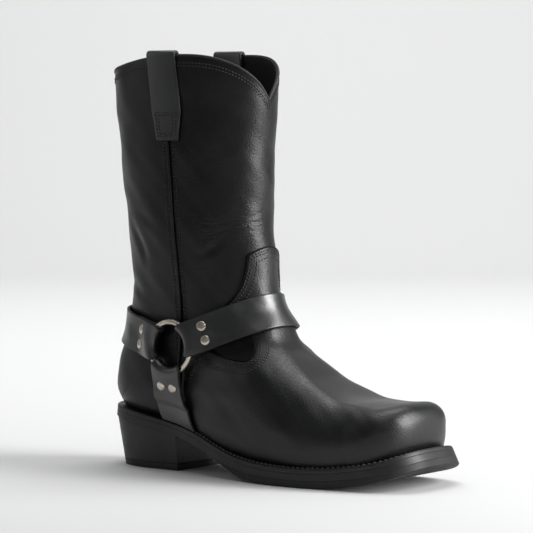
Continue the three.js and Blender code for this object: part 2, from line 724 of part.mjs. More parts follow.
function featherLoop(offset) {
  const turn = (from, to, centre, count) => spread(from, to, count).map((angle) => featherPoint(centre, angle, offset));
  const walk = (from, to, angle) => spread(from, to, 30).slice(1, -1).map((y) => featherPoint(
    [mix(0, toeCentre[0], smooth((y - heelCentre[1]) / (toeCentre[1] - heelCentre[1]))), y], angle, offset));
  const right = Math.PI / 2;
  const outer = [...turn(Math.PI, right, heelCentre, 13), ...walk(heelCentre[1], toeCentre[1], right),
    ...turn(right, 0, toeCentre, 17)];
  const inner = [...turn(0, -right, toeCentre, 17).slice(1), ...walk(toeCentre[1], heelCentre[1], -right),
    ...turn(-right, -Math.PI, heelCentre, 13)];
  return [...outer, ...inner.slice(0, -1)];
}

const ledges = table(['station', 'heel', 'waist', 'ball', 'toe'], [
  [0.0, 1, 0, 0, 0],
  [0.2, 0.5, 0.5, 0, 0],
  [0.36, 0, 1, 0, 0],
  [0.6, 0, 0, 1, 0],
  [0.8, 0, 0, 1, 0],
  [0.93, 0, 0, 0, 1],
]);

function ledgeAt(y) {
  const share = (name) => along(ledges, 'station', name, y / soleLength);
  return share('heel') * heelLedge + share('waist') * waistLedge + share('ball') * ballLedge + share('toe') * toeLedge;
}

// A loop runs along the outer side to the toe, so its outward normal is the tangent turned clockwise.
function moved(loop, distanceAt) {
  return loop.map((point, i) => {
    const before = loop[(i + loop.length - 1) % loop.length];
    const after = loop[(i + 1) % loop.length];
    const [tx, ty] = [after[0] - before[0], after[1] - before[1]];
    const length = Math.hypot(tx, ty);
    const move = distanceAt(point[1]);
    return [point[0] + (ty / length) * move, point[1] - (tx / length) * move, point[2]];
  });
}

const upperFeather = featherLoop(0);
const soleEdge = moved(upperFeather, ledgeAt);

// Half width of an outline at a station, on one side
function edgeAt(loop, y, side) {
  let best = 0;
  loop.forEach((p, i) => {
    const q = loop[(i + 1) % loop.length];
    if ((p[1] - y) * (q[1] - y) > 0 || p[1] === q[1]) return;
    const x = mix(p[0], q[0], (y - p[1]) / (q[1] - p[1]));
    if (side * x > side * best || best === 0) best = x;
  });
  return best;
}

// Stations from end to end, close together where the outline turns
function stations(loop, from, to, count) {
  return spread(0, Math.PI, count).map((a) => mix(from, to, (1 - Math.cos(a)) / 2)).map((y) => ({
    y, outer: edgeAt(loop, y, 1), inner: edgeAt(loop, y, -1) }));
}

// A layer lies a depth below the feather line, measured square to the sole's slope.
function below(y, depth) {
  const slope = (featherHeight(y + 1) - featherHeight(y - 1)) / 2;
  const length = Math.hypot(slope, 1);
  return { y: y + (depth * slope) / length, z: featherHeight(y) - depth / length };
}

function layerSection({ y, outer, inner }, top, bottom, floor = -Infinity) {
  const chamfer = Math.min(edgeChamfer, (bottom - top) / 3, (outer - inner) / 6);
  const at = (x, depth) => {
    const p = below(y, depth);
    return [x, p.y, Math.max(p.z, floor)];
  };
  return [
    at(inner + chamfer, top), at(outer - chamfer, top), at(outer, top + chamfer), at(outer, bottom - chamfer),
    at(outer - chamfer, bottom), at(inner + chamfer, bottom), at(inner, bottom - chamfer), at(inner, top + chamfer)];
}

const [soleBack, soleFront] = [Math.min(...soleEdge.map((p) => p[1])), Math.max(...soleEdge.map((p) => p[1]))];
const tip = 0.15;
const midsoleTop = seatGap + weltThickness + 2 * fit;
const midsoleBottom = midsoleTop + midsoleThickness;
const outsoleTop = midsoleBottom + fit;

function makeMidsole() {
  const rungs = stations(soleEdge, soleBack + tip, soleFront - tip, 26);
  return loft(rungs.map((rung) => layerSection(rung, midsoleTop, midsoleBottom)));
}

function makeOutsole() {
  const rungs = stations(soleEdge, outsoleStart, soleFront - tip, 24);
  return loft(rungs.map((rung) => {
    const grown = mix(outsoleTipShare, 1, smooth((rung.y - outsoleStart) / outsoleRamp));
    return layerSection(rung, outsoleTop, outsoleTop + outsoleThickness * grown, 0);
  }));
}

function makeWelt() {
  const outer = soleEdge;
  const inner = moved(upperFeather, () => -weltInside);
  const every = outer.map((_, i) => i).filter((i) => i % 2 === 0);
  return loft(every.map((i) => {
    const at = (x, y, depth) => [x, below(y, depth).y, below(y, depth).z];
    const [ox, oy] = outer[i];
    const [ix, iy] = inner[i];
    const rim = edgeChamfer / Math.hypot(ox - ix, oy - iy);
    const [cx, cy] = [mix(ox, ix, rim), mix(oy, iy, rim)];
    return [
      at(ix, iy, seatGap), at(cx, cy, seatGap), at(ox, oy, seatGap + edgeChamfer),
      at(ox, oy, seatGap + weltThickness), at(ix, iy, seatGap + weltThickness)];
  }), true);
}

function heelSection(rung, topDepth, bottomHeight, topHeight = null) {
  const top = below(rung.y, topDepth);
  const shape = (z) => {
    const drop = clamp((seatHeight - z) / seatHeight);
    const back = soleBack + heelRake * drop;
    const y = mix(back, heelBreast, (rung.y - soleBack) / (heelBreast - soleBack));
    return { y, scale: 1 - heelTaper * drop };
  };
  const level = (z, x) => [x * shape(z).scale, shape(z).y, z];
  const upper = topHeight === null ? top.z : topHeight;
  return [level(upper, rung.inner), level(upper, rung.outer), level(bottomHeight, rung.outer), level(bottomHeight, rung.inner)];
}

function makeHeelBlock() {
  const rungs = stations(soleEdge, soleBack + tip, heelBreast, 16);
  return loft(rungs.map((rung) => heelSection(rung, midsoleBottom + heelSeatGap, liftThickness + fit)));
}

function makeHeelLift() {
  const rungs = stations(soleEdge, soleBack + tip, heelBreast, 16);
  return loft(rungs.map((rung) => heelSection(rung, 0, 0, liftThickness)));
}

// The lower edge of the upper's own inner wall, out along the outer side and back along the inner
function innerEdge() {
  const { rings, closed } = formSections(-upperWall);
  const open = rings.slice(closed - 1);
  const front = rings[rings.length - 1];
  return [...open.map((ring) => ring[columns]), ...front.slice(1, -1).reverse(), ...open.map((ring) => ring[0]).reverse()]
    .slice(0, -1);
}

function makeInsole() {
  const edge = moved(innerEdge(), () => -seatGap);
  const [back, front] = [Math.min(...edge.map((p) => p[1])), Math.max(...edge.map((p) => p[1]))];
  const rungs = stations(edge, back + tip, front - tip, 20);
  return loft(rungs.map((rung) => layerSection(rung, -insoleThickness, 0)));
}

// Materials
const finish = (color, roughness, metalness = 0) => new THREE.MeshStandardMaterial({ color, roughness, metalness });
const leather = finish(0x141414, 0.45);
const edgeLeather = finish(0x1d1c1b, 0.6);
const rubber = finish(0x1b1a19, 0.7);
const lining = finish(0x2a2724, 0.8);
const nickel = finish(0xb9b3a8, 0.3, 1);

const boot = new THREE.Group();

function add(name, geometry, material) {
  geometry.computeVertexNormals();
  const mesh = new THREE.Mesh(geometry, material);
  mesh.name = name;
  boot.add(mesh);
  return mesh;
}

const sides = [['outer', 1], ['inner', -1]];

add('upper', makeUpper(), leather);
add('vamp', makeVamp(), leather);
add('insole', makeInsole(), lining);
add('welt', makeWelt(), edgeLeather);
add('midsole', makeMidsole(), edgeLeather);
add('outsole', makeOutsole(), rubber);
add('heel_block', makeHeelBlock(), edgeLeather);
add('heel_lift', makeHeelLift(), rubber);
add('strap_front', makeWrap(frontStrap), leather);
add('strap_heel', makeWrap(heelStrap), leather);

for (const [label, side] of sides) {
  add(`side_piping_${label}`, makePiping(side), leather);
  add(`pull_loop_${label}`, makePullLoop(side), leather);
  add(`strap_lower_${label}`, makeLower(side), leather);
  const wire = new THREE.TorusGeometry(ringRadius, ringWire, 8, 24);
  wire.deleteAttribute('normal');
  wire.deleteAttribute('uv');
  const ringMesh = add(`ring_${label}`, mergeVertices(wire.rotateY(Math.PI / 2), 1e-4), nickel);
  ringMesh.position.set(ringX[side], ring.y, ring.z);
}

// Two rivets on each strap end, square to the leather under them
const ends = [
  ['front', wrapStrap(frontStrap).place],
  ['heel', wrapStrap(heelStrap).place],
  ['lower', lowerPlace],
];
for (const [where, place] of ends) {
  for (const [label, side] of sides) {
    [-1, 1].forEach((row, index) => {
      const across = (row * rivetSpacing) / 2 / strapWidth;
      const [low, high] = [0, 1].map((lift) => new THREE.Vector3(
        ...place(side, rivetShare * lowerReach, across, lapHeight + rivetSeat + lift)));
      const rivet = add(`rivet_${where}_${label}_${index + 1}`, makeRivet(), nickel);
      rivet.position.copy(low);
      rivet.quaternion.setFromUnitVectors(new THREE.Vector3(0, 0, 1), high.sub(low).normalize());
    });
  }
}

const box = new THREE.Box3().setFromObject(boot);
boot.position.set(-(box.min.x + box.max.x) / 2, -(box.min.y + box.max.y) / 2, -box.min.z);

export default boot;
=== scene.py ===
import math

import bmesh
import bpy
import numpy as np
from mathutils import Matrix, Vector


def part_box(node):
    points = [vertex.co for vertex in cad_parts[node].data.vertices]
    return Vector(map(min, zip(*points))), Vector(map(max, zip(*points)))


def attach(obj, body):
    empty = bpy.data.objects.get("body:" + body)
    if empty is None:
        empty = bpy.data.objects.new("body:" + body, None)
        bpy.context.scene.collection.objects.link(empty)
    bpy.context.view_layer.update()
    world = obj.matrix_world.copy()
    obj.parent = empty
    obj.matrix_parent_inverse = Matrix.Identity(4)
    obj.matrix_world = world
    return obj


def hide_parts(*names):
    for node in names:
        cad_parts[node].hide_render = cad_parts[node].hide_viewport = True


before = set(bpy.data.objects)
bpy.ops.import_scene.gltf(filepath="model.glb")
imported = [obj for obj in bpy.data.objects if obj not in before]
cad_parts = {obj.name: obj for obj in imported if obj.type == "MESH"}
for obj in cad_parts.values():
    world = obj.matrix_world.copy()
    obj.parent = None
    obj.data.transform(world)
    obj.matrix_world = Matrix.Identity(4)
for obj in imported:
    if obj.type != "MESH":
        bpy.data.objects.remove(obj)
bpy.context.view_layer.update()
print("frame loaded")

# Sizes are in millimetres: x 0 is the middle of the boot, y 0 the back of the heel seat, z 0 the ground.
boot = {
    "soleLength": 305.0,
    "ballWidth": 103.0,
    "instepHeight": 88.0,
    "shaftHeight": 327.0,
    "shaftWidth": 88.0,
    "heelRise": 32.5,
    "toeSpring": 21.0,
    "frontNotch": 34.5,
    "backDip": 18.0,
    "wall": 2.4,
    "vampWall": 1.4,
    "strapWall": 2.6,
    "gap": 0.3,
}
sole = {
    "seatGap": 0.8,
    "welt": 3.4,
    "midsole": 5.0,
    "outsole": 5.4,
    "lift": 5.0,
    "insole": 3.0,
    "treadFlat": 0.4,
    "heelLedge": 6.0,
    "waistLedge": 5.0,
    "ballLedge": 10.0,
    "toeLedge": 11.0,
    "breast": 77.5,
    "heelTaper": 0.1,
    "heelRake": 7.0,
    "treadStart": 130.0,
    "treadRamp": 34.0,
    "treadTip": 0.2,
}
layers = sole["welt"] + sole["midsole"] + sole["outsole"]
boot["foreSole"] = layers + sole["seatGap"] + 3 * boot["gap"] - sole["treadFlat"]
seatHeight = boot["foreSole"] + boot["heelRise"]


def clamp(value, low=0.0, high=1.0):
    return np.minimum(np.maximum(value, low), high)


def smooth(value):
    t = clamp(value)
    return t * t * (3 - 2 * t)


def mix(a, b, t):
    return a + (b - a) * t


def smoothTable(columns, rows):
    # every column becomes a fine curve that never swings past the rows on either side
    names = columns.split()
    x = np.array([row[0] for row in rows], float)
    fine = np.linspace(x[0], x[-1], 900)
    i = np.clip(np.searchsorted(x, fine, side="left") - 1, 0, len(x) - 2)
    step = x[i + 1] - x[i]
    t = (fine - x[i]) / step
    curves = {}
    for column, name in enumerate(names[1:], start=1):
        p = np.array([row[column] for row in rows], float)
        slope = np.diff(p) / np.diff(x)
        before, after = slope[:-1], slope[1:]
        turns = before * after <= 0
        middle = np.where(turns, 0, 2 * before * after / np.where(turns, 1, before + after))
        tangent = np.concatenate([slope[:1], middle, slope[-1:]])
        bend = t * (1 - t) ** 2 * step * tangent[i] - t * t * (1 - t) * step * tangent[i + 1]
        curves[name] = (fine, p[i] + (p[i + 1] - p[i]) * t * t * (3 - 2 * t) + bend)
    return curves


def read(curves, name, at):
    return np.interp(at, *curves[name])


# Leg sections: height is a share of seat to collar, back and front of the sole length, half of the
# shaft width.
leg = smoothTable("height back front half power", [
    [-0.05, 0.005, 0.383, 0.375, 2.4],
    [0.00, 0.004, 0.396, 0.392, 2.45],
    [0.064, -0.004, 0.422, 0.415, 2.45],
    [0.135, 0.002, 0.462, 0.415, 2.35],
    [0.199, 0.021, 0.488, 0.409, 2.25],
    [0.242, 0.034, 0.498, 0.409, 2.2],
    [0.306, 0.044, 0.484, 0.420, 2.15],
    [0.377, 0.048, 0.474, 0.443, 2.15],
    [0.448, 0.046, 0.467, 0.466, 2.15],
    [0.519, 0.038, 0.459, 0.483, 2.15],
    [0.661, 0.020, 0.459, 0.494, 2.15],
    [0.838, -0.002, 0.469, 0.494, 2.15],
    [1.034, -0.020, 0.483, 0.500, 2.15],
])

# Foot sections: rise and spring are shares of heel rise and toe spring, ridge of the instep height,
# the rest of the ball width.
foot = smoothTable("station rise spring ridge outer inner centre round", [
    [0.000, 1.060, 0.00, 0.180, 0.194, 0.194, 0.000, 0.097],
    [0.082, 0.970, 0.00, 0.260, 0.220, 0.220, 0.000, 0.146],
    [0.149, 0.880, 0.00, 0.380, 0.252, 0.252, 0.000, 0.194],
    [0.248, 0.720, 0.00, 0.640, 0.325, 0.301, 0.000, 0.272],
    [0.330, 0.550, 0.00, 0.800, 0.379, 0.335, 0.000, 0.330],
    [0.413, 0.300, 0.00, 0.970, 0.432, 0.374, 0.000, 0.369],
    [0.495, 0.110, 0.00, 1.010, 0.476, 0.422, -0.010, 0.388],
    [0.578, 0.025, 0.00, 0.872, 0.505, 0.466, -0.019, 0.369],
    [0.660, 0.000, 0.00, 0.684, 0.515, 0.485, -0.029, 0.311],
    [0.743, 0.000, 0.04, 0.553, 0.500, 0.471, -0.044, 0.252],
    [0.825, 0.000, 0.17, 0.482, 0.456, 0.432, -0.058, 0.204],
    [0.908, 0.000, 0.43, 0.428, 0.398, 0.388, -0.068, 0.126],
    [0.990, 0.000, 1.00, 0.307, 0.369, 0.369, -0.073, 0.107],
])

last = {
    "footBack": 0.18,
    "toeStart": 0.804,
    "toeFront": 0.944,
    "toePower": 2.9,
    "crown": 0.1,
    "tuck": 4.5,
    "toeTuck": 2.2,
    "tuckFrom": 0.46,
    "tuckRun": 0.295,
    "tuckHeight": 15.0,
    "blendLow": 5.0,
    "blendHigh": 30.0,
    "blendFrom": 0.06,
    "blendTo": 0.24,
}
toeStart = last["toeStart"] * boot["soleLength"]
toeLength = (last["toeFront"] - last["toeStart"]) * boot["soleLength"]


def legShare(z):
    return (z - seatHeight) / (boot["shaftHeight"] - seatHeight)


def heightAt(share):
    return mix(seatHeight, boot["shaftHeight"], share)


def legAt(name, z):
    return read(leg, name, legShare(z))


def footAt(name, y):
    return read(foot, name, y / boot["soleLength"])


def featherHeight(y):
    return boot["foreSole"] + boot["heelRise"] * footAt("rise", y) + boot["toeSpring"] * footAt("spring", y)


def tuckAt(y):
    toToe = smooth((y / boot["soleLength"] - last["tuckFrom"]) / last["tuckRun"])
    return mix(last["tuck"], last["toeTuck"], toToe)


def distance(p):
    # how far outside the lasted form a point lies: leg and foot flow together and tuck in above the welt
    x, y, z = p[:, 0], p[:, 1], p[:, 2]
    back = legAt("back", z) * boot["soleLength"]
    front = legAt("front", z) * boot["soleLength"]
    power = legAt("power", z)
    dy = y - (front + back) / 2
    scale = ((np.abs(x) / (legAt("half", z) * boot["shaftWidth"])) ** power
             + (np.abs(dy) / ((front - back) / 2)) ** power) ** (1 / power) + 1e-9
    a = (scale - 1) * np.hypot(x, dy) / scale
    offset = x - footAt("centre", y) * boot["ballWidth"]
    side = np.maximum(np.abs(offset), 1e-4)
    held = np.minimum(y, toeStart)
    width = np.where(offset > 0, footAt("outer", held), footAt("inner", held)) * boot["ballWidth"]
    ahead = np.maximum(y - toeStart, 0)
    n = last["toePower"]
    scale = ((side / width) ** n + (ahead / toeLength) ** n) ** (1 / n)
    plan = np.maximum(
        (scale - 1) * np.hypot(side, ahead) / scale, last["footBack"] * boot["soleLength"] - y)
    feather = featherHeight(y)
    ridge = feather + footAt("ridge", y) * boot["instepHeight"]
    top = (z - ridge + last["crown"] * side * side / width) * 0.9
    edge = footAt("round", y) * boot["ballWidth"]
    b = (np.hypot(np.maximum(plan + edge, 0), np.maximum(top + edge, 0))
         + np.minimum(np.maximum(plan + edge, top + edge), 0) - edge)
    share = (legShare(z) - last["blendFrom"]) / (last["blendTo"] - last["blendFrom"])
    reach = mix(last["blendLow"], last["blendHigh"], clamp(share))
    overlap = np.maximum(reach - np.abs(a - b), 0) / reach
    tuck = clamp((feather + last["tuckHeight"] - z) / last["tuckHeight"], 0, 2) ** 2
    return np.minimum(a, b) - overlap * overlap * reach / 4 + tuckAt(y) * tuck


def hit(origin, direction, offset=0.0, far=170.0):
    # where rays from inside the form meet the surface that lies offset outside it
    near = np.zeros(len(origin))
    away = np.full(len(origin), far)
    for _ in range(24):
        t = (near + away) / 2
        inside = distance(origin + direction * t[:, None]) < offset
        near = np.where(inside, t, near)
        away = np.where(inside, away, t)
    return origin + direction * ((near + away) / 2)[:, None]


def facing(p):
    # outward direction of the form at points on or near it
    step = 0.4
    slope = np.stack([distance(p + step * axis) - distance(p - step * axis) for axis in np.eye(3)], 1)
    return slope / np.linalg.norm(slope, axis=1)[:, None]


def columnsOf(x, y, z):
    x, y, z = np.broadcast_arrays(x, y, z)
    return np.stack([x, y, z], -1).astype(float)


def sideHit(side, y, z, offset=0.0):
    y, z, side = np.broadcast_arrays(np.asarray(y, float), z, side)
    start = columnsOf(0 * y, y, z)
    return hit(start, columnsOf(side, 0 * y, 0 * y), offset)


print("form ready")

# Sections of the upper: level rings, rings that tip round the ankle, upright sections, then a fan
# round the toe.
shape = {
    "columns": 176,
    "collarRows": 12,
    "shaftRows": 96,
    "ankleRows": 26,
    "heelRows": 34,
    "footRows": 44,
    "toeRows": 26,
    "levelTop": 0.75,
    "levelEnd": 0.43,
    "collarPeak": math.radians(68),
    "bendStation": 0.215,
    "bendShare": 0.075,
    "uprightStation": 0.555,
    "uprightShare": 0.4,
    "fanRise": 0.17,
    "fanSwing": math.radians(48),
}


def collarHeight(angle):
    a = np.abs(angle)
    peak = shape["collarPeak"]
    front = boot["shaftHeight"] - boot["frontNotch"] * (1 - np.minimum(a, peak) / peak) ** 3.3
    back = boot["shaftHeight"] - boot["backDip"] * (np.maximum(a - peak, 0) / (math.pi - peak)) ** 2
    return np.where(a < peak, front, back)


def legMiddle(z):
    return (legAt("back", z) + legAt("front", z)) * boot["soleLength"] / 2


def levelRing(z, angle, offset):
    return hit(columnsOf(0, legMiddle(z), z), columnsOf(np.sin(angle), np.cos(angle), 0), offset)


def tippedPlane(share):
    start = np.array([legMiddle(heightAt(shape["levelEnd"])), heightAt(shape["levelEnd"])])
    bend = np.array([shape["bendStation"] * boot["soleLength"], heightAt(shape["bendShare"])])
    upright = boot["foreSole"] + shape["uprightShare"] * boot["instepHeight"]
    end = np.array([shape["uprightStation"] * boot["soleLength"], upright])
    middle = (1 - share) ** 2 * start + 2 * share * (1 - share) * bend + share ** 2 * end
    return middle, share * math.pi / 2


def landing(middle, tilt):
    near, away = 0.0, 400.0
    for _ in range(36):
        t = (near + away) / 2
        above = middle[1] - math.sin(tilt) * t > featherHeight(middle[0] - math.cos(tilt) * t)
        near, away = (t, away) if above else (near, t)
    return middle[0] - math.cos(tilt) * near, middle[1] - math.sin(tilt) * near, near


def tippedSection(middle, tilt, offset, closed):
    angle = np.linspace(-math.pi, math.pi, shape["columns"] + 1)
    if not closed:
        y, z, reach = landing(middle, tilt)
        outer, inner = sideHit(1, [y], z, offset)[0][0], sideHit(-1, [y], z, offset)[0][0]
        half = shape["columns"] // 2 + 1
        back = np.linspace(math.atan2(inner, -reach), 0, half)
        angle = np.concatenate([back, np.linspace(0, math.atan2(outer, -reach), half)[1:]])
    direction = columnsOf(np.sin(angle), math.cos(tilt) * np.cos(angle), math.sin(tilt) * np.cos(angle))
    return hit(columnsOf(0 * angle, middle[0], middle[1]), direction, offset)


def heelShare():
    low, high = 0.0, 1.0
    for _ in range(30):
        share = (low + high) / 2
        y, z, _reach = landing(*tippedPlane(share))
        outside = distance(np.array([[0, y, z]]))[0] > 0
        low, high = (share, high) if outside else (low, share)
    return (low + high) / 2


def featherPoints(cx, cy, angle, offset=0.0):
    # points of the feather line, on level rays from a centre
    cx, cy, angle = [np.array(v, float) for v in np.broadcast_arrays(cx, cy, angle)]
    y = cy.copy()
    for _ in range(6):
        direction = columnsOf(np.sin(angle), np.cos(angle), 0 * angle)
        point = hit(columnsOf(cx, cy, featherHeight(y)), direction, offset)
        y = point[:, 1]
    point[:, 2] = featherHeight(y)
    return point


toeCentre = np.array([footAt("centre", toeStart) * boot["ballWidth"], toeStart + 3])


def toeFan(lastRow, offset):
    rise = shape["fanRise"] * boot["instepHeight"]
    centre = np.array([toeCentre[0], toeCentre[1], featherHeight(toeCentre[1]) + rise])
    swing = shape["fanSwing"]
    front = featherPoints(
        toeCentre[0], toeCentre[1], np.linspace(-swing, swing, shape["columns"] + 1), offset)
    start = (lastRow - centre) / np.linalg.norm(lastRow - centre, axis=1)[:, None]
    end = (front - centre) / np.linalg.norm(front - centre, axis=1)[:, None]
    angle = np.arccos(clamp(np.sum(start * end, 1), -1, 1))[:, None]
    rows = []
    for t in np.linspace(0, 1, shape["toeRows"] + 1)[1:]:
        ray = (start * np.sin((1 - t) * angle) + end * np.sin(t * angle)) / np.sin(angle)
        row = hit(np.tile(centre, (len(ray), 1)), ray / np.linalg.norm(ray, axis=1)[:, None], offset)
        edges = featherPoints(
            toeCentre[0], toeCentre[1], np.arctan2(ray[[0, -1], 0], ray[[0, -1], 1]), offset)
        row[[0, -1]] = edges
        rows.append(front if t == 1 else row)
    return rows


heelTip = heelShare()


def formRows(offset, fromShare=None):
    # all sections of the form at one offset, from the collar or from a share of the shaft height
    rows, turn = [], np.linspace(-math.pi, math.pi, shape["columns"] + 1)
    upperEnd = heightAt(shape["levelTop"])
    if fromShare is None:
        for t in np.linspace(0, 1, shape["collarRows"] + 1)[:-1]:
            rows.append(levelRing(mix(collarHeight(turn), upperEnd, t), turn, offset))
        fromShare = shape["levelTop"]
    span = (fromShare - shape["levelEnd"]) / (shape["levelTop"] - shape["levelEnd"])
    for z in np.linspace(
            heightAt(fromShare), heightAt(shape["levelEnd"]), round(shape["shaftRows"] * span)):
        rows.append(levelRing(0 * turn + z, turn, offset))
    for t in np.linspace(0, heelTip, shape["ankleRows"] + 1)[1:]:
        rows.append(tippedSection(*tippedPlane(t), offset, True))
    closed = len(rows)
    for t in np.linspace(0, 1, shape["heelRows"] + 1)[1:]:
        rows.append(tippedSection(*tippedPlane(mix(heelTip, 1, t ** 1.5)), offset, False))
    middle, _tilt = tippedPlane(1.0)
    for t in np.linspace(0, 1, shape["footRows"] + 1)[1:]:
        y = mix(middle[0], toeCentre[1] + 4, t)
        lift = (middle[1] - boot["foreSole"]) * (1 - 0.35 * t)
        rows.append(tippedSection((y, featherHeight(y) + lift), math.pi / 2, offset, False))
    rows.extend(toeFan(rows[-1], offset))
    return np.array(rows), closed


# The ring's place ties this script's millimetres to the frame's metres.
ring = {"station": 0.2635, "share": 0.5842, "radius": 20.0, "wire": 2.2, "around": 120, "through": 24}
ringY, ringZ = ring["station"] * boot["soleLength"], seatHeight + ring["share"] * boot["instepHeight"]
strapBase = boot["gap"] + boot["vampWall"] + boot["gap"]
wireHeight = boot["strapWall"] + boot["gap"] + ring["wire"]


def ringPlane(side):
    a = np.linspace(0, 2 * math.pi, 13)
    reach = 1.2 * ring["radius"]
    under = side * sideHit(side, ringY + reach * np.cos(a), ringZ + reach * np.sin(a))[:, 0]
    return side * (np.max(under) + strapBase + wireHeight)


ringX = {side: ringPlane(side) for side in (1, -1)}
ringLow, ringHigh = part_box("ring_outer")
origin = np.array((ringLow + ringHigh) / 2) * 1000 - np.array([ringX[1], ringY, ringZ])
print("origin of the boot in the frame, mm:", np.round(origin, 3))


def inFrame(points):
    return (np.asarray(points, float).reshape(-1, 3) + origin) / 1000


def gridFaces(rows, columns, first=0, closedRows=False, closedColumns=False, flip=False):
    # quads of a grid of points counted row by row
    i, j = np.meshgrid(
        np.arange(rows if closedRows else rows - 1),
        np.arange(columns if closedColumns else columns - 1), indexing="ij")
    a, b = i * columns + j, i * columns + (j + 1) % columns
    c, d = ((i + 1) % rows) * columns + (j + 1) % columns, ((i + 1) % rows) * columns + j
    quads = np.stack([a, d, c, b] if flip else [a, b, c, d], -1).reshape(-1, 4) + first
    return quads.tolist()


def makePiece(name, points, faces, materials, sharp=38, faceMaterial=None):
    # a mesh in the frame's metres: doubles merged, faces outwards, smooth but for real edges
    mesh = bpy.data.meshes.new(name)
    mesh.from_pydata(inFrame(points).tolist(), [], faces)
    piece = bpy.data.objects.new(name, mesh)
    bpy.context.scene.collection.objects.link(piece)
    for material in materials:
        mesh.materials.append(material)
    if faceMaterial is not None:
        mesh.polygons.foreach_set("material_index", np.asarray(faceMaterial, np.int32))
    shell = bmesh.new()
    shell.from_mesh(mesh)
    bmesh.ops.remove_doubles(shell, verts=shell.verts, dist=2e-6)
    bmesh.ops.dissolve_degenerate(shell, edges=shell.edges, dist=1e-6)
    bmesh.ops.recalc_face_normals(shell, faces=shell.faces)
    shell.to_mesh(mesh)
    shell.free()
    mesh.shade_smooth()
    mesh.set_sharp_from_angle(angle=math.radians(sharp))
    return piece


def settle(piece, nodes=()):
    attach(piece, "root")
    if nodes:
        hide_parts(*nodes)


# Soft creases: each runs from one point to another, seen from the side, with its depth and half width.
creases = {
    "foldDepth": 1.6,
    "foldWidth": 6.0,
    "wrinkleDepth": 0.42,
    "wrinkleWidth": 1.0,
    "swell": 0.6,
    "sideFade": 14.0,
    "frontFrom": 85.0,
    "frontFade": 12.0,
}
foldColumns = "side fromY fromZ toY toZ depth width".split()
folds = [dict(zip(foldColumns, row)) for row in [
    [1, 31, 198, 50, 165, 1.0, 1.0],
    [1, 40, 206, 66, 190, 0.3, 0.9],
    [-1, 34, 192, 56, 168, 0.8, 1.0],
    [1, 122, 184, 104, 170, 0.35, 0.7],
    [-1, 116, 194, 92, 176, 0.5, 0.8],
    [1, 20, 150, 42, 138, 0.6, 0.8],
    [-1, 20, 152, 44, 140, 0.6, 0.8],
]]
wrinkleColumns = "fromX fromZ toX toZ depth".split()
wrinkles = [dict(zip(wrinkleColumns, row)) for row in [
    [-4, 205.0, 18, 203.5, 0.6],
    [2, 203.0, 27, 202.2, 0.8],
    [6, 200.6, 31, 199.4, 1.0],
    [-6, 198.6, 12, 198.9, 0.5],
    [2, 197.6, 30, 196.6, 1.0],
    [10, 194.6, 32, 193.0, 0.7],
    [24, 199.0, 37, 195.0, 0.5],
    [26, 193.0, 38, 187.5, 0.6],
    [31, 189.5, 40, 182.5, 0.5],
]]


def ridgeProfile(gap):
    # a soft trough with a low ridge on each side, one deep at its middle
    return -(1 - 0.8 * gap * gap) * np.exp(-gap * gap)


def relief(p):
    # height in millimetres that creases and an uneven skin add to the form
    x, y, z = p[:, 0], p[:, 1], p[:, 2]
    rise = np.zeros(len(p))
    for fold in folds:
        start, end = np.array([fold["fromY"], fold["fromZ"]]), np.array([fold["toY"], fold["toZ"]])
        along = end - start
        t = ((y - start[0]) * along[0] + (z - start[1]) * along[1]) / (along @ along)
        bow = 2.0 * np.sin(3.0 * clamp(t)) - 1.0
        off = (y - start[0] - t * along[0]) * along[1] - (z - start[1] - t * along[1]) * along[0]
        gap = (off / np.hypot(*along) + bow) / (creases["foldWidth"] * fold["width"])
        ends = smooth(1 - np.abs(2 * t - 1) / 1.5)
        onSide = smooth(fold["side"] * x / creases["sideFade"])
        rise += creases["foldDepth"] * fold["depth"] * ridgeProfile(gap) * ends * onSide
    for wrinkle in wrinkles:
        t = (x - wrinkle["fromX"]) / (wrinkle["toX"] - wrinkle["fromX"])
        middle = mix(wrinkle["fromZ"], wrinkle["toZ"], t) + 0.5 * np.sin(9 * t + wrinkle["fromZ"])
        ends = smooth(1 - np.abs(2 * t - 1) / 1.25)
        trough = ridgeProfile((z - middle) / creases["wrinkleWidth"])
        atFront = smooth((y - creases["frontFrom"]) / creases["frontFade"])
        rise += creases["wrinkleDepth"] * wrinkle["depth"] * trough * ends * atFront
    swell = (np.sin(0.071 * z + 0.043 * y + 0.9) * np.sin(0.052 * y - 0.037 * z + 0.05 * x)
             + 0.6 * np.sin(0.13 * z - 0.05 * x + 0.09 * y) * np.sin(0.11 * y + 0.07 * x + 2.0)
             + 0.25 * np.sin(0.27 * z + 0.11 * y) * np.sin(0.23 * y - 0.19 * x + 0.08 * z))
    ease = smooth((z - featherHeight(y) - 6) / 30)
    return rise + creases["swell"] * swell * ease


def raised(points):
    # points near the form, moved out by the relief there
    flat = np.asarray(points, float).reshape(-1, 3)
    moved = flat + facing(flat) * relief(flat)[:, None]
    return moved.reshape(np.shape(points))


def shellFaces(rows, columns, closed):
    # outer grid then inner grid, closed at the first row, the last row and along the lower edges
    count = rows * columns
    faces = gridFaces(rows, columns) + gridFaces(rows, columns, count, flip=True)
    for j in range(columns - 1):
        faces.append([j + 1, j, count + j, count + j + 1])
        end = (rows - 1) * columns + j
        faces.append([end, end + 1, count + end + 1, count + end])
    for i in range(closed - 1, rows - 1):
        a, b = i * columns, (i + 1) * columns
        faces.append([a, b, count + b, count + a])
        a, b = a + columns - 1, b + columns - 1
        faces.append([b, a, count + a, count + b])
    return faces


def collarLip(offset, rise):
    turn = np.linspace(-math.pi, math.pi, shape["columns"] + 1)
    return levelRing(collarHeight(turn) + rise, turn, offset)


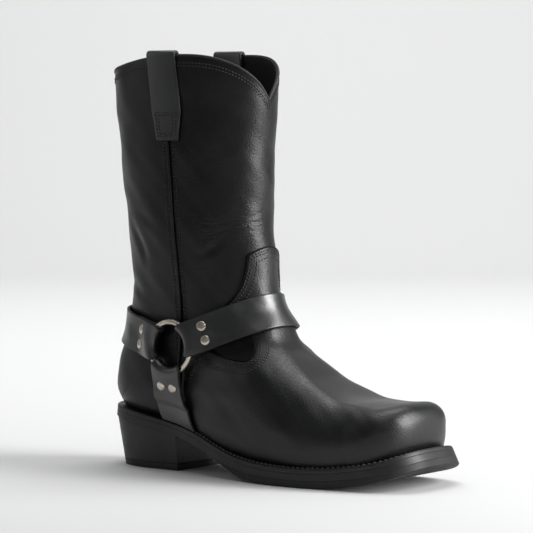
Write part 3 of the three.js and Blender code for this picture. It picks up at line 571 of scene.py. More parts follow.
def makeUpper(materials):
    outer, closed = formRows(0.0)
    inner, _closed = formRows(-boot["wall"])
    lip = 0.5
    outerTop = np.array(
        [collarLip(-boot["wall"] * t, lip * r) for t, r in [(0.5, 1.0), (0.2, 0.85), (0.05, 0.4)]])
    innerTop = np.array(
        [collarLip(-boot["wall"] * t, lip * r) for t, r in [(0.5, 1.0), (0.8, 0.85), (0.95, 0.4)]])
    outer, inner = np.concatenate([outerTop, outer]), np.concatenate([innerTop, inner])
    rows, columns = outer.shape[:2]
    points = np.concatenate([raised(outer).reshape(-1, 3), raised(inner).reshape(-1, 3)])
    faces = shellFaces(rows, columns, closed + len(outerTop))
    lining = (rows - 1) * (columns - 1)
    slots = np.zeros(len(faces), int)
    slots[lining + 3 * (columns - 1):2 * lining] = 1
    return makePiece("upper_shell", points, faces, materials, faceMaterial=slots)


# Vamp: a second skin over the forefoot, trimmed to its tongue seen from the front and its scoops
# seen from the side.
def bezierChain(start, *curves):
    # each curve is its corner and its end; a straight run gives the end alone
    points = [np.array(start, float)]
    for curve in curves:
        curve = [np.array(p, float) for p in curve]
        if len(curve) == 1:
            points.append(curve[0])
            continue
        corner, end, begin = curve[0], curve[1], points[-1]
        for t in np.linspace(0, 1, 17)[1:]:
            points.append((1 - t) ** 2 * begin + 2 * t * (1 - t) * corner + t * t * end)
    return np.array(points)


tongue = {
    "top": 0.466,
    "shoulder": 0.443,
    "strapEdge": 0.297,
    "bottom": 0.25,
    "skinTop": 0.53,
    "back": 0.3,
    "front": 0.7,
    "peakHalf": 0.13,
    "shoulderHalf": 0.215,
    "waistHalf": 0.235,
    "edgeHalf": 0.35,
}


def tongueSide():
    # the tongue's edge from its peak down to the strap, on the outer side
    w = boot["shaftWidth"]
    top, shoulder, edge = (heightAt(tongue[key]) for key in ("top", "shoulder", "strapEdge"))
    return bezierChain(
        (0, top),
        [(tongue["peakHalf"] * w, mix(shoulder, top, 0.85)), (tongue["shoulderHalf"] * w, shoulder)],
        [(tongue["waistHalf"] * w, mix(edge, shoulder, 0.45)), (tongue["edgeHalf"] * w, edge)],
    )


def tongueOutline():
    side = tongueSide()
    low = np.array([[tongue["edgeHalf"] * boot["shaftWidth"], heightAt(tongue["bottom"])]])
    half = np.concatenate([side, low])
    return np.concatenate([half, half[::-1][:-1] * [-1, 1]])


def scoopCurve():
    # the scoop's edge from the front strap round and back to the lower strap, seen from the side
    def at(station, share):
        return station * boot["soleLength"], heightAt(share)

    return bezierChain(
        at(0.478, 0.29), [at(0.481, 0.225)],
        [at(0.500, 0.19), at(0.507, 0.172)],
        [at(0.507, 0.154), at(0.482, 0.154)],
        [at(0.430, 0.154), at(0.374, 0.176)],
        [at(0.300, 0.170), at(0.285, 0.10)],
    )


def scoopOutline():
    def at(station, share):
        return station * boot["soleLength"], heightAt(share)

    return np.concatenate(
        [scoopCurve(), [at(0.310, -0.1), at(0.330, -0.3), at(1.1, -0.3), at(1.1, 0.29)]])


def prismPiece(name, outline, seenFrom, low, high):
    # an outline pushed through the boot, as a cutter
    count = len(outline)
    points = []
    for depth in (low, high):
        for a, b in outline:
            points.append([depth, a, b] if seenFrom == "side" else [a, depth, b])
    faces = [list(range(count)), list(range(count, 2 * count))]
    faces += [[i, (i + 1) % count, count + (i + 1) % count, count + i] for i in range(count)]
    return makePiece(name, points, faces, [], sharp=30)


def combine(piece, other, operation):
    change = piece.modifiers.new(operation.lower(), "BOOLEAN")
    change.object, change.operation, change.solver = other, operation, "MANIFOLD"
    depsgraph = bpy.context.evaluated_depsgraph_get()
    mesh = bpy.data.meshes.new_from_object(piece.evaluated_get(depsgraph), depsgraph=depsgraph)
    piece.modifiers.clear()
    piece.data = mesh
    bpy.data.objects.remove(other)


def makeVamp(materials):
    outer, closed = formRows(boot["gap"] + boot["vampWall"], tongue["skinTop"])
    inner, _closed = formRows(boot["gap"], tongue["skinTop"])
    rows, columns = outer.shape[:2]
    points = np.concatenate([raised(outer).reshape(-1, 3), raised(inner).reshape(-1, 3)])
    vamp = makePiece("vamp_skin", points, shellFaces(rows, columns, closed), materials)
    length, width = boot["soleLength"], boot["ballWidth"]
    back, front = tongue["back"] * length, tongue["front"] * length
    cutter = prismPiece("vamp_cutter", tongueOutline(), "front", back, front)
    combine(cutter, prismPiece("side_cutter", scoopOutline(), "side", -width, width), "UNION")
    combine(vamp, cutter, "INTERSECT")
    vamp.data.shade_smooth()
    vamp.data.set_sharp_from_angle(angle=math.radians(38))
    return vamp


# Straps: a ribbon of leather that follows a path beside the ring and round the leg.
strap = {
    "width": 28.0,
    "lowerWidth": 37.1,
    "edgeRound": 0.9,
    "lap": 42.0,
    "lapRamp": 46.0,
    "slope": 14.0,
    "fan": 20.5,
    "rows": 22,
    "rivetReach": 32.0,
    "rivetSpacing": 11.4,
    "turnFrom": 22.0,
    "wrapTurn": 16.0,
    "lowerTurn": 12.0,
    "settleFrom": 30.0,
    "settleRun": 30.0,
    "lowerLapRamp": 6.0,
    "middleFree": 8.0,
}
frontStrap = {
    "direction": math.radians(22), "cover": math.radians(42), "axis": 0.29, "end": 0.0,
    "rest": strapBase + boot["gap"],
}
heelStrap = {
    "direction": math.radians(168.5), "cover": math.radians(44), "axis": 0.2, "end": math.pi, "rest": 0.9}
lowerStrap = {
    "direction": math.radians(262), "cover": math.radians(44), "rest": strapBase + 3 * boot["gap"]}
lowerShape = smoothTable("reach shift grow", [
    [0.320, -0.083, 0.00],
    [0.542, -0.097, 0.06],
    [0.766, -0.008, 0.61],
    [1.000, 0.054, 1.00],
])
lowerReach = ringZ - featherHeight(ringY) - boot["gap"]


def ringZone(which, side, reach, across, height):
    angle = which["direction"] + across * 2 * which["cover"]
    x = np.where(side > 0, ringX[1], ringX[-1]) + side * (height - wireHeight)
    fan, past = np.minimum(reach, strap["fan"]), np.maximum(reach - strap["fan"], 0)
    y = ringY + fan * np.cos(angle) + past * math.cos(which["direction"])
    return columnsOf(x, y, ringZ + fan * np.sin(angle) + past * math.sin(which["direction"]))


def wrapPoint(which, side, angle, across, offset):
    # level rays from an axis meet the form where the strap's straight side view is
    slope, tall = math.tan(which["direction"]), across / abs(math.cos(which["direction"]))
    z = ringZ + 0 * angle
    direction = columnsOf(side * np.sin(angle), np.cos(angle), 0)
    for _ in range(9):
        point = hit(columnsOf(0, which["axis"] * boot["soleLength"], z), direction, offset)
        z = mix(z, ringZ + slope * (point[:, 1] - ringY) + tall, 0.8)
    return point


def middleLine(which):
    start = math.atan2(ringX[1] - wireHeight, ringY - which["axis"] * boot["soleLength"])
    angle = np.linspace(start, which["end"], 65)
    points = wrapPoint(which, 1.0 + 0 * angle, angle, 0 * angle, which["rest"])
    length = np.concatenate([[0], np.cumsum(np.linalg.norm(np.diff(points, axis=0), axis=1))])
    return length, angle


for wrap in (frontStrap, heelStrap):
    wrap["length"], wrap["angle"] = middleLine(wrap)
    wrap["total"] = wrap["length"][-1]


def placeWrap(which, side, reach, across, height):
    side, reach, across, height = [
        np.array(v, float) for v in np.broadcast_arrays(side, reach, across, height)]
    sign = math.copysign(1, math.cos(which["direction"]))
    near = ringZone(which, side, reach, across * sign, height)
    turn = smooth((reach - strap["turnFrom"]) / strap["wrapTurn"])[:, None]
    lean = sign * math.tan(which["direction"])
    width = across * strap["width"]
    fade = clamp(1 - reach / which["total"])
    angle = np.interp(reach - width * lean * fade, which["length"], which["angle"])
    settled = smooth((reach - strap["settleFrom"]) / strap["settleRun"])
    rest = mix(strapBase, which["rest"], settled)
    far = wrapPoint(which, side, angle, width, rest + height)
    return mix(near, far, turn)


def placeLower(side, reach, across, height):
    side, reach, across, height = [
        np.array(v, float) for v in np.broadcast_arrays(side, reach, across, height)]
    near = ringZone(lowerStrap, side, reach, across, height)
    turn = smooth((reach - strap["turnFrom"]) / strap["lowerTurn"])[:, None]
    share = reach / lowerReach
    width = mix(strap["width"], strap["lowerWidth"], read(lowerShape, "grow", share))
    y = ringY + read(lowerShape, "shift", share) * strap["lowerWidth"] + across * width
    z = mix(ringZ, featherHeight(y) + boot["gap"], reach / lowerReach)
    far = sideHit(side, y, z, lowerStrap["rest"] + height)
    return mix(near, far, turn)


def hookPath(lapEnd):
    # the leather's middle, seen on edge: its folded end under the lap, under the wire, round it and
    # back over it
    wall = boot["strapWall"]
    low, high = wall / 2, 1.5 * wall + 0.1
    arc = wireHeight - wall / 2
    bend = np.linspace(1.5, 0.5, 25) * math.pi
    under = [[reach, low] for reach in np.linspace(strap["lap"] - 2, ring["radius"], 12)[:-1]]
    nose = [[ring["radius"] + arc * math.cos(a), wireHeight + arc * math.sin(a)] for a in bend]
    crest = wireHeight + arc
    over = []
    for t in np.linspace(0, 1, 15)[1:]:
        over.append([ring["radius"] + strap["slope"] * t, mix(crest, high, smooth(t))])
    lap = [[reach, high] for reach in np.linspace(ring["radius"] + strap["slope"] + 1, strap["lap"], 6)]
    ramp = [[mix(strap["lap"], lapEnd, t), mix(high, low, smooth(t))] for t in np.linspace(0, 1, 17)[1:]]
    return np.array(under + nose + over + lap + ramp)


def ribbonLoop():
    # offsets round the ribbon: share of the width, millimetres in from the edge, and side of its
    # thickness
    r = strap["edgeRound"]
    across = np.linspace(-0.5, 0.5, strap["rows"])
    corner = [(r * (1 - math.sin(a)), math.cos(a)) for a in np.radians([0, 30, 60, 90])]
    loop = [(s, r, 1.0) for s in across[1:-1]]
    loop += [(0.5, inset, up) for inset, up in corner]
    loop += [(0.5, inset, -up) for inset, up in corner[::-1][1:]]
    loop += [(s, r, -1.0) for s in across[1:-1][::-1]]
    loop += [(-0.5, inset, -up) for inset, up in corner]
    loop += [(-0.5, inset, up) for inset, up in corner[::-1][1:]]
    return np.array(loop)


def cutEdges(loop, rows):
    # 1 for the faces on a ribbon's two cut edges and its two ends
    flat = np.abs(loop[:, 2]) > 0.99
    edge = ~(flat & np.roll(flat, -1))
    return np.concatenate([np.tile(edge, rows - 1), [True, True]]).astype(int)


def ribbon(path, place, widthAt):
    # carries the ribbon's edge-on path and its round-edged section to their place, and closes both ends
    ahead = np.gradient(path, axis=0)
    ahead /= np.linalg.norm(ahead, axis=1)[:, None]
    loop = ribbonLoop()
    half = boot["strapWall"] / 2
    s = path[:, None, 0] - ahead[:, None, 1] * loop[None, :, 2] * half
    h = path[:, None, 1] + ahead[:, None, 0] * loop[None, :, 2] * half
    edge = np.abs(loop[:, 0]) >= 0.5
    share = loop[None, :, 0] - np.where(edge, np.sign(loop[:, 0]) * loop[:, 1], 0)[None, :] / widthAt
    points = place(s.ravel(), share.repeat(len(path), 0).ravel(), h.ravel())
    rows, columns = len(path), len(loop)
    faces = gridFaces(rows, columns, closedColumns=True)
    faces += [list(range(columns)), list(range((rows - 1) * columns, rows * columns))]
    return points, faces, cutEdges(loop, rows)


def makeWrapStrap(name, which, materials):
    total = which["total"]
    lapEnd = min(strap["lap"] + strap["lapRamp"], total - strap["middleFree"])
    hook = hookPath(lapEnd)
    first = np.stack([hook[:, 0] - total, hook[:, 1]], 1)
    count = int(2 * (total - lapEnd) / 2.2)
    reach = np.linspace(lapEnd - total, total - lapEnd, count)[1:-1]
    run = np.stack([reach, np.full(count - 2, boot["strapWall"] / 2)], 1)
    path = np.concatenate([first, run, first[::-1] * [-1, 1]])

    def place(s, share, h):
        return placeWrap(which, np.where(s < 0, -1.0, 1.0), total - np.abs(s), share, h)

    points, faces, cut = ribbon(path, place, strap["width"])
    return makePiece(name, raised(points), faces, materials, faceMaterial=cut)


def makeLowerStrap(name, side, materials):
    lapEnd = strap["lap"] + strap["lowerLapRamp"]
    reach = np.linspace(lapEnd, lowerReach, 14)[1:]
    run = np.stack([reach, np.full(len(reach), boot["strapWall"] / 2)], 1)
    path = np.concatenate([hookPath(lapEnd), run])
    points, faces, cut = ribbon(
        path, lambda s, share, h: placeLower(side + 0 * s, s, share, h), strap["width"])
    return makePiece(name, raised(points), faces, materials, faceMaterial=cut)


def makeTube(name, centres, radius, materials, sides=12, closed=False):
    # a round bead or wire along a line of points
    ahead = np.roll(centres, -1, 0) - np.roll(centres, 1, 0) if closed else np.gradient(centres, axis=0)
    ahead /= np.linalg.norm(ahead, axis=1)[:, None]
    out = facing(centres)
    across = np.cross(ahead, out)
    across /= np.linalg.norm(across, axis=1)[:, None]
    out = np.cross(across, ahead)
    angle = np.linspace(0, 2 * math.pi, sides + 1)[:-1]
    cosine, sine = np.cos(angle)[None, :, None], np.sin(angle)[None, :, None]
    points = centres[:, None] + radius * (cosine * out[:, None] + sine * across[:, None])
    rows = len(centres)
    faces = gridFaces(rows, sides, closedRows=closed, closedColumns=True)
    if not closed:
        faces += [list(range(sides)), list(range((rows - 1) * sides, rows * sides))]
    return makePiece(name, points.reshape(-1, 3), faces, materials)


seam = smoothTable("height station", [
    [0.14, 0.272],
    [0.27, 0.279],
    [0.40, 0.276],
    [0.55, 0.268],
    [0.75, 0.256],
    [0.83, 0.252],
    [1.00, 0.234],
])
piping = {"radius": 1.25, "top": 262.0, "bottom": 86.0}
pullLoop = {
    "width": 28.0,
    "endWidth": 20.5,
    "drop": 66.0,
    "wall": 2.4,
    "edgeRound": 0.7,
}


def seamStation(z):
    return read(seam, "station", legShare(z)) * boot["soleLength"]


def makePiping(name, side, materials):
    z = np.linspace(piping["top"], piping["bottom"], 150)
    centres = raised(sideHit(side, seamStation(z), z, boot["gap"] + 0.7 * piping["radius"]))
    return makeTube(name, centres, piping["radius"], materials)


def loopPath():
    # the pull loop seen on edge: up outside, over the collar, down inside
    middle, bottom = -boot["wall"] / 2, boot["shaftHeight"] - pullLoop["drop"]
    fold = boot["shaftHeight"] + boot["gap"]
    radius = boot["gap"] + pullLoop["wall"] / 2 - middle
    up = [[middle + radius, z] for z in np.linspace(bottom, fold, 34)[:-1]]
    bend = np.linspace(0, math.pi, 17)
    turn = [[middle + radius * math.cos(a), fold + radius * math.sin(a)] for a in bend]
    down = [[middle - radius, z] for z in np.linspace(fold, bottom, 30)[1:]]
    return np.array(up + turn + down)


def placeLoop(side, z, share, offset):
    bottom = boot["shaftHeight"] - pullLoop["drop"]
    width = mix(pullLoop["endWidth"], pullLoop["width"], clamp((z - bottom) / (0.36 * pullLoop["drop"])))
    y = seamStation(z) + share * width
    point = sideHit(side, y, np.minimum(z, boot["shaftHeight"] + boot["gap"]), offset)
    point[:, 2] = z
    return point


def makePullLoop(name, side, materials):
    path = loopPath()
    ahead = np.gradient(path, axis=0)
    ahead /= np.linalg.norm(ahead, axis=1)[:, None]
    loop = ribbonLoop()
    half = pullLoop["wall"] / 2
    offset = path[:, None, 0] + ahead[:, None, 1] * loop[None, :, 2] * half
    z = path[:, None, 1] - ahead[:, None, 0] * loop[None, :, 2] * half
    edge = np.where(np.abs(loop[:, 0]) >= 0.5, np.sign(loop[:, 0]) * loop[:, 1], 0)
    share = (loop[:, 0] - edge / pullLoop["width"])[None, :].repeat(len(path), 0)
    points = placeLoop(side, z.ravel(), share.ravel(), offset.ravel())
    rows, columns = len(path), len(loop)
    faces = gridFaces(rows, columns, closedColumns=True)
    faces += [list(range(columns)), list(range((rows - 1) * columns, rows * columns))]
    return makePiece(name, points, faces, materials, faceMaterial=cutEdges(loop, rows))


def makeRing(name, side, materials):
    around, through = (np.linspace(0, 2 * math.pi, ring[key] + 1)[:-1] for key in ("around", "through"))
    a, b = np.meshgrid(around, through, indexing="ij")
    reach = ring["radius"] + ring["wire"] * np.cos(b)
    points = columnsOf(
        ringX[side] + ring["wire"] * np.sin(b), ringY + reach * np.cos(a), ringZ + reach * np.sin(a))
    faces = gridFaces(ring["around"], ring["through"], closedRows=True, closedColumns=True)
    return makePiece(name, points.reshape(-1, 3), faces, materials)


# Sole: every layer lies a depth below the feather line, square to the sole's slope.
heelCentre = np.array([0.0, 0.16 * boot["soleLength"]])
ledges = smoothTable("station heel waist ball toe", [
    [0.0, 1, 0, 0, 0],
    [0.2, 0.5, 0.5, 0, 0],
    [0.36, 0, 1, 0, 0],
    [0.6, 0, 0, 1, 0],
    [0.8, 0, 0, 1, 0],
    [0.93, 0, 0, 0, 1],
])


def ledgeAt(y):
    station = y / boot["soleLength"]
    ledge = sum(
        read(ledges, name, station) * sole[name + "Ledge"] for name in ("heel", "waist", "ball", "toe"))
    return ledge + tuckAt(y) - last["tuck"]


def featherLoop(offset=0.0, fine=64):
    # heel to toe along the outer side and back along the inner side, as level points in pairs
    turn = np.linspace(math.pi, math.pi / 2, fine)
    y = np.linspace(heelCentre[1], toeCentre[1], 2 * fine)[1:-1]
    middle = mix(0, toeCentre[0], smooth((y - heelCentre[1]) / (toeCentre[1] - heelCentre[1])))
    toe = np.linspace(math.pi / 2, 0, fine)
    sides = []
    for side in (1, -1):
        sides.append(np.concatenate([
            featherPoints(heelCentre[0], heelCentre[1], side * turn, offset),
            featherPoints(middle, y, side * math.pi / 2 + 0 * y, offset),
            featherPoints(toeCentre[0], toeCentre[1], side * toe, offset)]))
    return np.concatenate([sides[0], sides[1][::-1][1:-1]])


def movedLoop(loop, move):
    ahead = np.roll(loop, -1, 0) - np.roll(loop, 1, 0)
    length = np.hypot(ahead[:, 0], ahead[:, 1])
    out = np.stack([ahead[:, 1], -ahead[:, 0]], 1) / length[:, None]
    loop = loop.copy()
    loop[:, :2] += out * np.broadcast_to(move, len(loop))[:, None]
    return loop


def below(x, y, depth):
    slope = (featherHeight(y + 1) - featherHeight(y - 1)) / 2
    length = np.hypot(slope, 1)
    return columnsOf(x, y + depth * slope / length, featherHeight(y) - depth / length)


def pairedCap(count, first, flip):
    # closes a loop whose two halves mirror each other, with strips across it
    half = count // 2
    faces = [[first, first + 1, first + count - 1]]
    for i in range(1, half - 1):
        faces.append([first + i, first + i + 1, first + count - i - 1, first + count - i])
    faces.append([first + half - 1, first + half, first + half + 1])
    return [face[::-1] for face in faces] if flip else faces


upperFeather = featherLoop()
soleEdge = movedLoop(upperFeather, ledgeAt(upperFeather[:, 1]))
midsoleTop = sole["seatGap"] + sole["welt"] + 2 * boot["gap"]
midsoleBottom = midsoleTop + sole["midsole"]
outsoleTop = midsoleBottom + boot["gap"]


def slab(name, loop, profile, materials, floor=None, grow=None):
    # profile rows give how far in from the edge and how deep; grow scales the depth past the first row
    points = []
    for inset, depth in profile:
        row = movedLoop(loop, -inset)
        deep = depth if grow is None else profile[0][1] + (depth - profile[0][1]) * grow(row[:, 1])
        row = below(row[:, 0], row[:, 1], deep)
        if floor is not None:
            row[:, 2] = np.maximum(row[:, 2], floor)
        points.append(row)
    rows, count = len(points), len(loop)
    faces = gridFaces(rows, count, closedColumns=True)
    faces += pairedCap(count, 0, True) + pairedCap(count, (rows - 1) * count, False)
    return makePiece(name, np.concatenate(points), faces, materials, sharp=50)


def roundedProfile(top, bottom, upper=0.2, lower=0.2):
    # down the edge of a layer, with its upper and lower corner rounded
    rows = [[upper + 1, top]]
    for a in np.radians([0, 30, 60, 90]):
        rows.append([upper * (1 - math.sin(a)), top + upper * (1 - math.cos(a))])
    for t in np.linspace(0, 1, 6)[1:-1]:
        rows.append([0.0, mix(top + upper, bottom - lower, t)])
    for a in np.radians([90, 60, 30, 0]):
        rows.append([lower * (1 - math.sin(a)), bottom - lower * (1 - math.cos(a))])
    rows.append([lower + 1, bottom])
    return rows


soleBack = soleEdge[:, 1].min()


def resample(points, count):
    length = np.concatenate([[0], np.cumsum(np.linalg.norm(np.diff(points, axis=0), axis=1))])
    at = np.linspace(0, length[-1], count)
    return np.stack([np.interp(at, length, points[:, axis]) for axis in range(3)], 1)


def partLoop(station, ahead, count):
    # the sole's edge ahead of a station, or behind it, closed by a straight line across
    half = len(soleEdge) // 2
    sides = []
    for edge in (soleEdge[:half + 1], np.concatenate([soleEdge[:1], soleEdge[half:][::-1]])):
        if ahead:
            edge = edge[::-1]
        past = edge[:, 1] < station if ahead else edge[:, 1] > station
        last = int(np.argmax(past))
        t = (station - edge[last - 1, 1]) / (edge[last, 1] - edge[last - 1, 1])
        sides.append(resample(np.concatenate([edge[:last], [mix(edge[last - 1], edge[last], t)]]), count))
    outer, inner = sides
    middle = (outer[-1] + inner[-1]) / 2
    line = np.linspace(0, 1, 14)[1:-1, None]
    outer = np.concatenate([outer, mix(outer[-1], middle, line)])
    inner = np.concatenate([inner[1:], mix(inner[-1], middle, line)])
    if ahead:
        outer, inner = np.concatenate([outer[:1], inner]), outer[1:]
    return np.concatenate([outer, [middle], inner[::-1]])


def makeOutsole(materials):
    def grown(y):
        return mix(sole["treadTip"], 1, smooth((y - sole["treadStart"]) / sole["treadRamp"]))

    profile = roundedProfile(outsoleTop - boot["gap"], outsoleTop + sole["outsole"], lower=0.7)
    return slab(
        "outsole_tread", partLoop(sole["treadStart"], True, 130), profile, materials, floor=0.0,
        grow=grown)


def heelStack(name, seatDepth, low, high, materials, layered=0):
    # the heel between two levels; high is None where it follows the sole above it, raked at the
    # back and tapered
    loop = partLoop(sole["breast"], False, 90)
    radius = 0.35
    steps = [(radius + 1, 0.0), (radius, 0.0), (radius * 0.3, 0.35), (0.0, 1.0)]
    height = seatHeight - low if high is None else high - low

    def level(share, inset):
        row = movedLoop(loop, -inset)
        seat = below(row[:, 0], row[:, 1], seatDepth)[:, 2] if high is None else high
        topmost = below(row[:, 0], row[:, 1], midsoleBottom)[:, 2]
        z = mix(seat, low, share)
        drop = clamp((topmost - z) / topmost)
        back = soleBack + sole["heelRake"] * drop
        y = mix(back, sole["breast"], (row[:, 1] - soleBack) / (sole["breast"] - soleBack))
        return columnsOf(row[:, 0] * (1 - sole["heelTaper"] * drop), y, z)

    points = [level(radius * down / height, inset) for inset, down in steps]
    for share in np.linspace(radius / height, 1 - radius / height, 22 if layered else 5)[1:-1]:
        groove = 0.12 * max(0.0, math.cos(2 * math.pi * layered * share)) ** 10 if layered else 0.0
        points.append(level(share, groove))
    points += [level(1 - radius * down / height, inset) for inset, down in steps[::-1]]
    rows, count = len(points), len(loop)
    faces = gridFaces(rows, count, closedColumns=True)
    faces += pairedCap(count, 0, True) + pairedCap(count, (rows - 1) * count, False)
    return makePiece(name, np.concatenate(points), faces, materials, sharp=50)


def makeWelt(materials):
    # a ring of leather under the edge of the upper, its top ledge showing all round
    outer, inside = soleEdge, movedLoop(upperFeather, -7.0)
    top, bottom = sole["seatGap"], sole["seatGap"] + sole["welt"]
    r = 0.8
    points = [below(inside[:, 0], inside[:, 1], top)]
    for t in (0.35, 0.62, 0.8):
        mid = mix(inside, outer, t)
        points.append(below(mid[:, 0], mid[:, 1], top))
    for a in np.radians([0, 30, 60, 90]):
        row = movedLoop(outer, -r * (1 - math.sin(a)))
        points.append(below(row[:, 0], row[:, 1], top + r * (1 - math.cos(a))))
    for a in np.radians([90, 45, 0]):
        row = movedLoop(outer, -0.2 * (1 - math.sin(a)))
        points.append(below(row[:, 0], row[:, 1], bottom - 0.2 * (1 - math.cos(a))))
    points.append(below(inside[:, 0], inside[:, 1], bottom))
    rows, count = len(points), len(outer)
    faces = gridFaces(rows, count, closedRows=True, closedColumns=True)
    return makePiece("welt_rim", np.concatenate(points), faces, materials, sharp=50)


def makeInsole(materials):
    loop = movedLoop(featherLoop(-boot["wall"]), -1.0)
    return slab("insole_board", loop, roundedProfile(-sole["insole"], 0.0, upper=0.6), materials)


print("piece makers ready")


# Materials: every finish is worked out from Object coordinates, in metres.
def newMaterial(name):
    material = bpy.data.materials.new(name)
    material.use_nodes = True
    nodes = material.node_tree.nodes
    shader = nodes["Principled BSDF"]
    return material, material.node_tree, shader


def addNode(tree, kind, settings=None, **sockets):
    item = tree.nodes.new(kind)
    for key, value in (settings or {}).items():
        setattr(item, key, value)
    for key, value in sockets.items():
        numbered = key[0] == "i" and key[1:].isdigit()
        target = item.inputs[int(key[1:]) if numbered else key.replace("_", " ")]
        if isinstance(value, bpy.types.NodeSocket):
            tree.links.new(value, target)
        else:
            target.default_value = value
    return item


def rampBetween(tree, value, low, high, fromLow, fromHigh):
    item = addNode(
        tree, "ShaderNodeMapRange", {"clamp": True}, Value=value, From_Min=low, From_Max=high,
        To_Min=fromLow, To_Max=fromHigh)
    return item.outputs["Result"]


def blendColour(tree, factor, first, second):
    item = addNode(tree, "ShaderNodeMix", {"data_type": "RGBA"})
    tree.links.new(factor, item.inputs["Factor"])
    for socket, colour in ((item.inputs["A"], first), (item.inputs["B"], second)):
        if isinstance(colour, bpy.types.NodeSocket):
            tree.links.new(colour, socket)
        else:
            socket.default_value = (*colour, 1)
    return item.outputs["Result"]


def crinkleBump(tree, place, crinkle, under):
    # fine broken creases, thin and long, that fade out round one spot of the skin
    spot = inFrame(crinkle["centre"])[0]
    away = addNode(tree, "ShaderNodeVectorMath", {"operation": "DISTANCE"}, i0=place)
    away.inputs[1].default_value = spot
    mask = rampBetween(tree, away.outputs["Value"], 0.0, crinkle["radius"], 1.0, 0.0)
    turned = addNode(
        tree, "ShaderNodeMapping", None, Vector=place, Rotation=crinkle["turn"], Scale=crinkle["stretch"])
    lines = addNode(
        tree, "ShaderNodeTexNoise", None, Vector=turned.outputs["Vector"], Scale=crinkle["scale"],
        Detail=2.0, Distortion=0.5)
    height = addNode(tree, "ShaderNodeMath", {"operation": "MULTIPLY"}, i0=mask, i1=lines.outputs["Fac"])
    bump = addNode(
        tree, "ShaderNodeBump", None, Strength=crinkle["strength"], Distance=0.0016,
        Height=height.outputs[0], Normal=under)
    return bump.outputs["Normal"]


def leatherFinish(name, sizes):
    material, tree, shader = newMaterial(name)
    place = addNode(tree, "ShaderNodeTexCoord").outputs["Object"]
    cells = addNode(
        tree, "ShaderNodeTexVoronoi", {"feature": "SMOOTH_F1"}, Vector=place, Scale=sizes["pebble"],
        Smoothness=0.35)
    pores = addNode(
        tree, "ShaderNodeTexNoise", None, Vector=place, Scale=sizes["pore"], Detail=3.0, Roughness=0.6)
    drift = addNode(
        tree, "ShaderNodeTexNoise", None, Vector=place, Scale=sizes["drift"], Detail=4.0, Roughness=0.55)
    broad = addNode(tree, "ShaderNodeTexNoise", None, Vector=place, Scale=sizes["broad"], Detail=2.0)
    colour = blendColour(
        tree, rampBetween(tree, drift.outputs["Fac"], 0.3, 0.7, 0, 1), sizes["dark"], sizes["light"])
    tree.links.new(colour, shader.inputs["Base Color"])
    rough = addNode(tree, "ShaderNodeMath", {"operation": "ADD"},
                    i0=rampBetween(
                        tree, drift.outputs["Fac"], 0.25, 0.75, sizes["smoothest"], sizes["roughest"]),
                    i1=rampBetween(tree, cells.outputs["Distance"], 0.0, 0.8, 0.05, -0.03))
    tree.links.new(rough.outputs[0], shader.inputs["Roughness"])
    grain = addNode(
        tree, "ShaderNodeBump", None, Strength=sizes["grain"], Distance=0.0003,
        Height=cells.outputs["Distance"])
    grain.invert = True
    fine = addNode(
        tree, "ShaderNodeBump", None, Strength=sizes["fine"], Distance=0.0001,
        Height=pores.outputs["Fac"], Normal=grain.outputs["Normal"])
    wave = addNode(
        tree, "ShaderNodeBump", None, Strength=sizes["wave"], Distance=0.0012,
        Height=broad.outputs["Fac"], Normal=fine.outputs["Normal"])
    normal = wave.outputs["Normal"]
    for crinkle in sizes.get("crinkles", []):
        normal = crinkleBump(tree, place, crinkle, normal)
    tree.links.new(normal, shader.inputs["Normal"])
    shader.inputs["Specular IOR Level"].default_value = sizes["specular"]
    shader.inputs["Coat Weight"].default_value = sizes["coat"]
    shader.inputs["Coat Roughness"].default_value = sizes["coatRough"]
    return material


upperLook = {
    "pebble": 840.0, "pore": 2400.0, "drift": 38.0, "broad": 60.0,
    "dark": (0.0022, 0.0023, 0.0023), "light": (0.0048, 0.005, 0.0047),
    "smoothest": 0.33, "roughest": 0.46, "grain": 0.42, "fine": 0.35, "wave": 0.12,
    "specular": 0.3, "coat": 0.05, "coatRough": 0.3,
}
vampLook = dict(upperLook, specular=0.42)
strapLook = dict(
    upperLook, smoothest=0.3, roughest=0.37, grain=0.16, fine=0.2, specular=0.9, coat=0.3, coatRough=0.36)
inkAndShadowLook = dict(
    # near-black and dull: black edge ink plus painted shadow along the vamp's cut edges
    upperLook, dark=(0.0008, 0.0008, 0.0008), light=(0.0016, 0.0016, 0.0016), smoothest=0.7,
    roughest=0.85, coat=0.0, specular=0.15)
# lighter than the grain: partly the raw cut-edge tone, partly a painted highlight line along strap, loop
# and collar edges
rawEdgeAndHighlightLook = dict(
    upperLook, dark=(0.016, 0.0157, 0.0152), light=(0.036, 0.035, 0.034), smoothest=0.5, roughest=0.65,
    coat=0.0)
liningLook = dict(
    upperLook, dark=(0.006, 0.0055, 0.005), light=(0.011, 0.010, 0.009), smoothest=0.75, roughest=0.9,
    coat=0.0, specular=0.25)


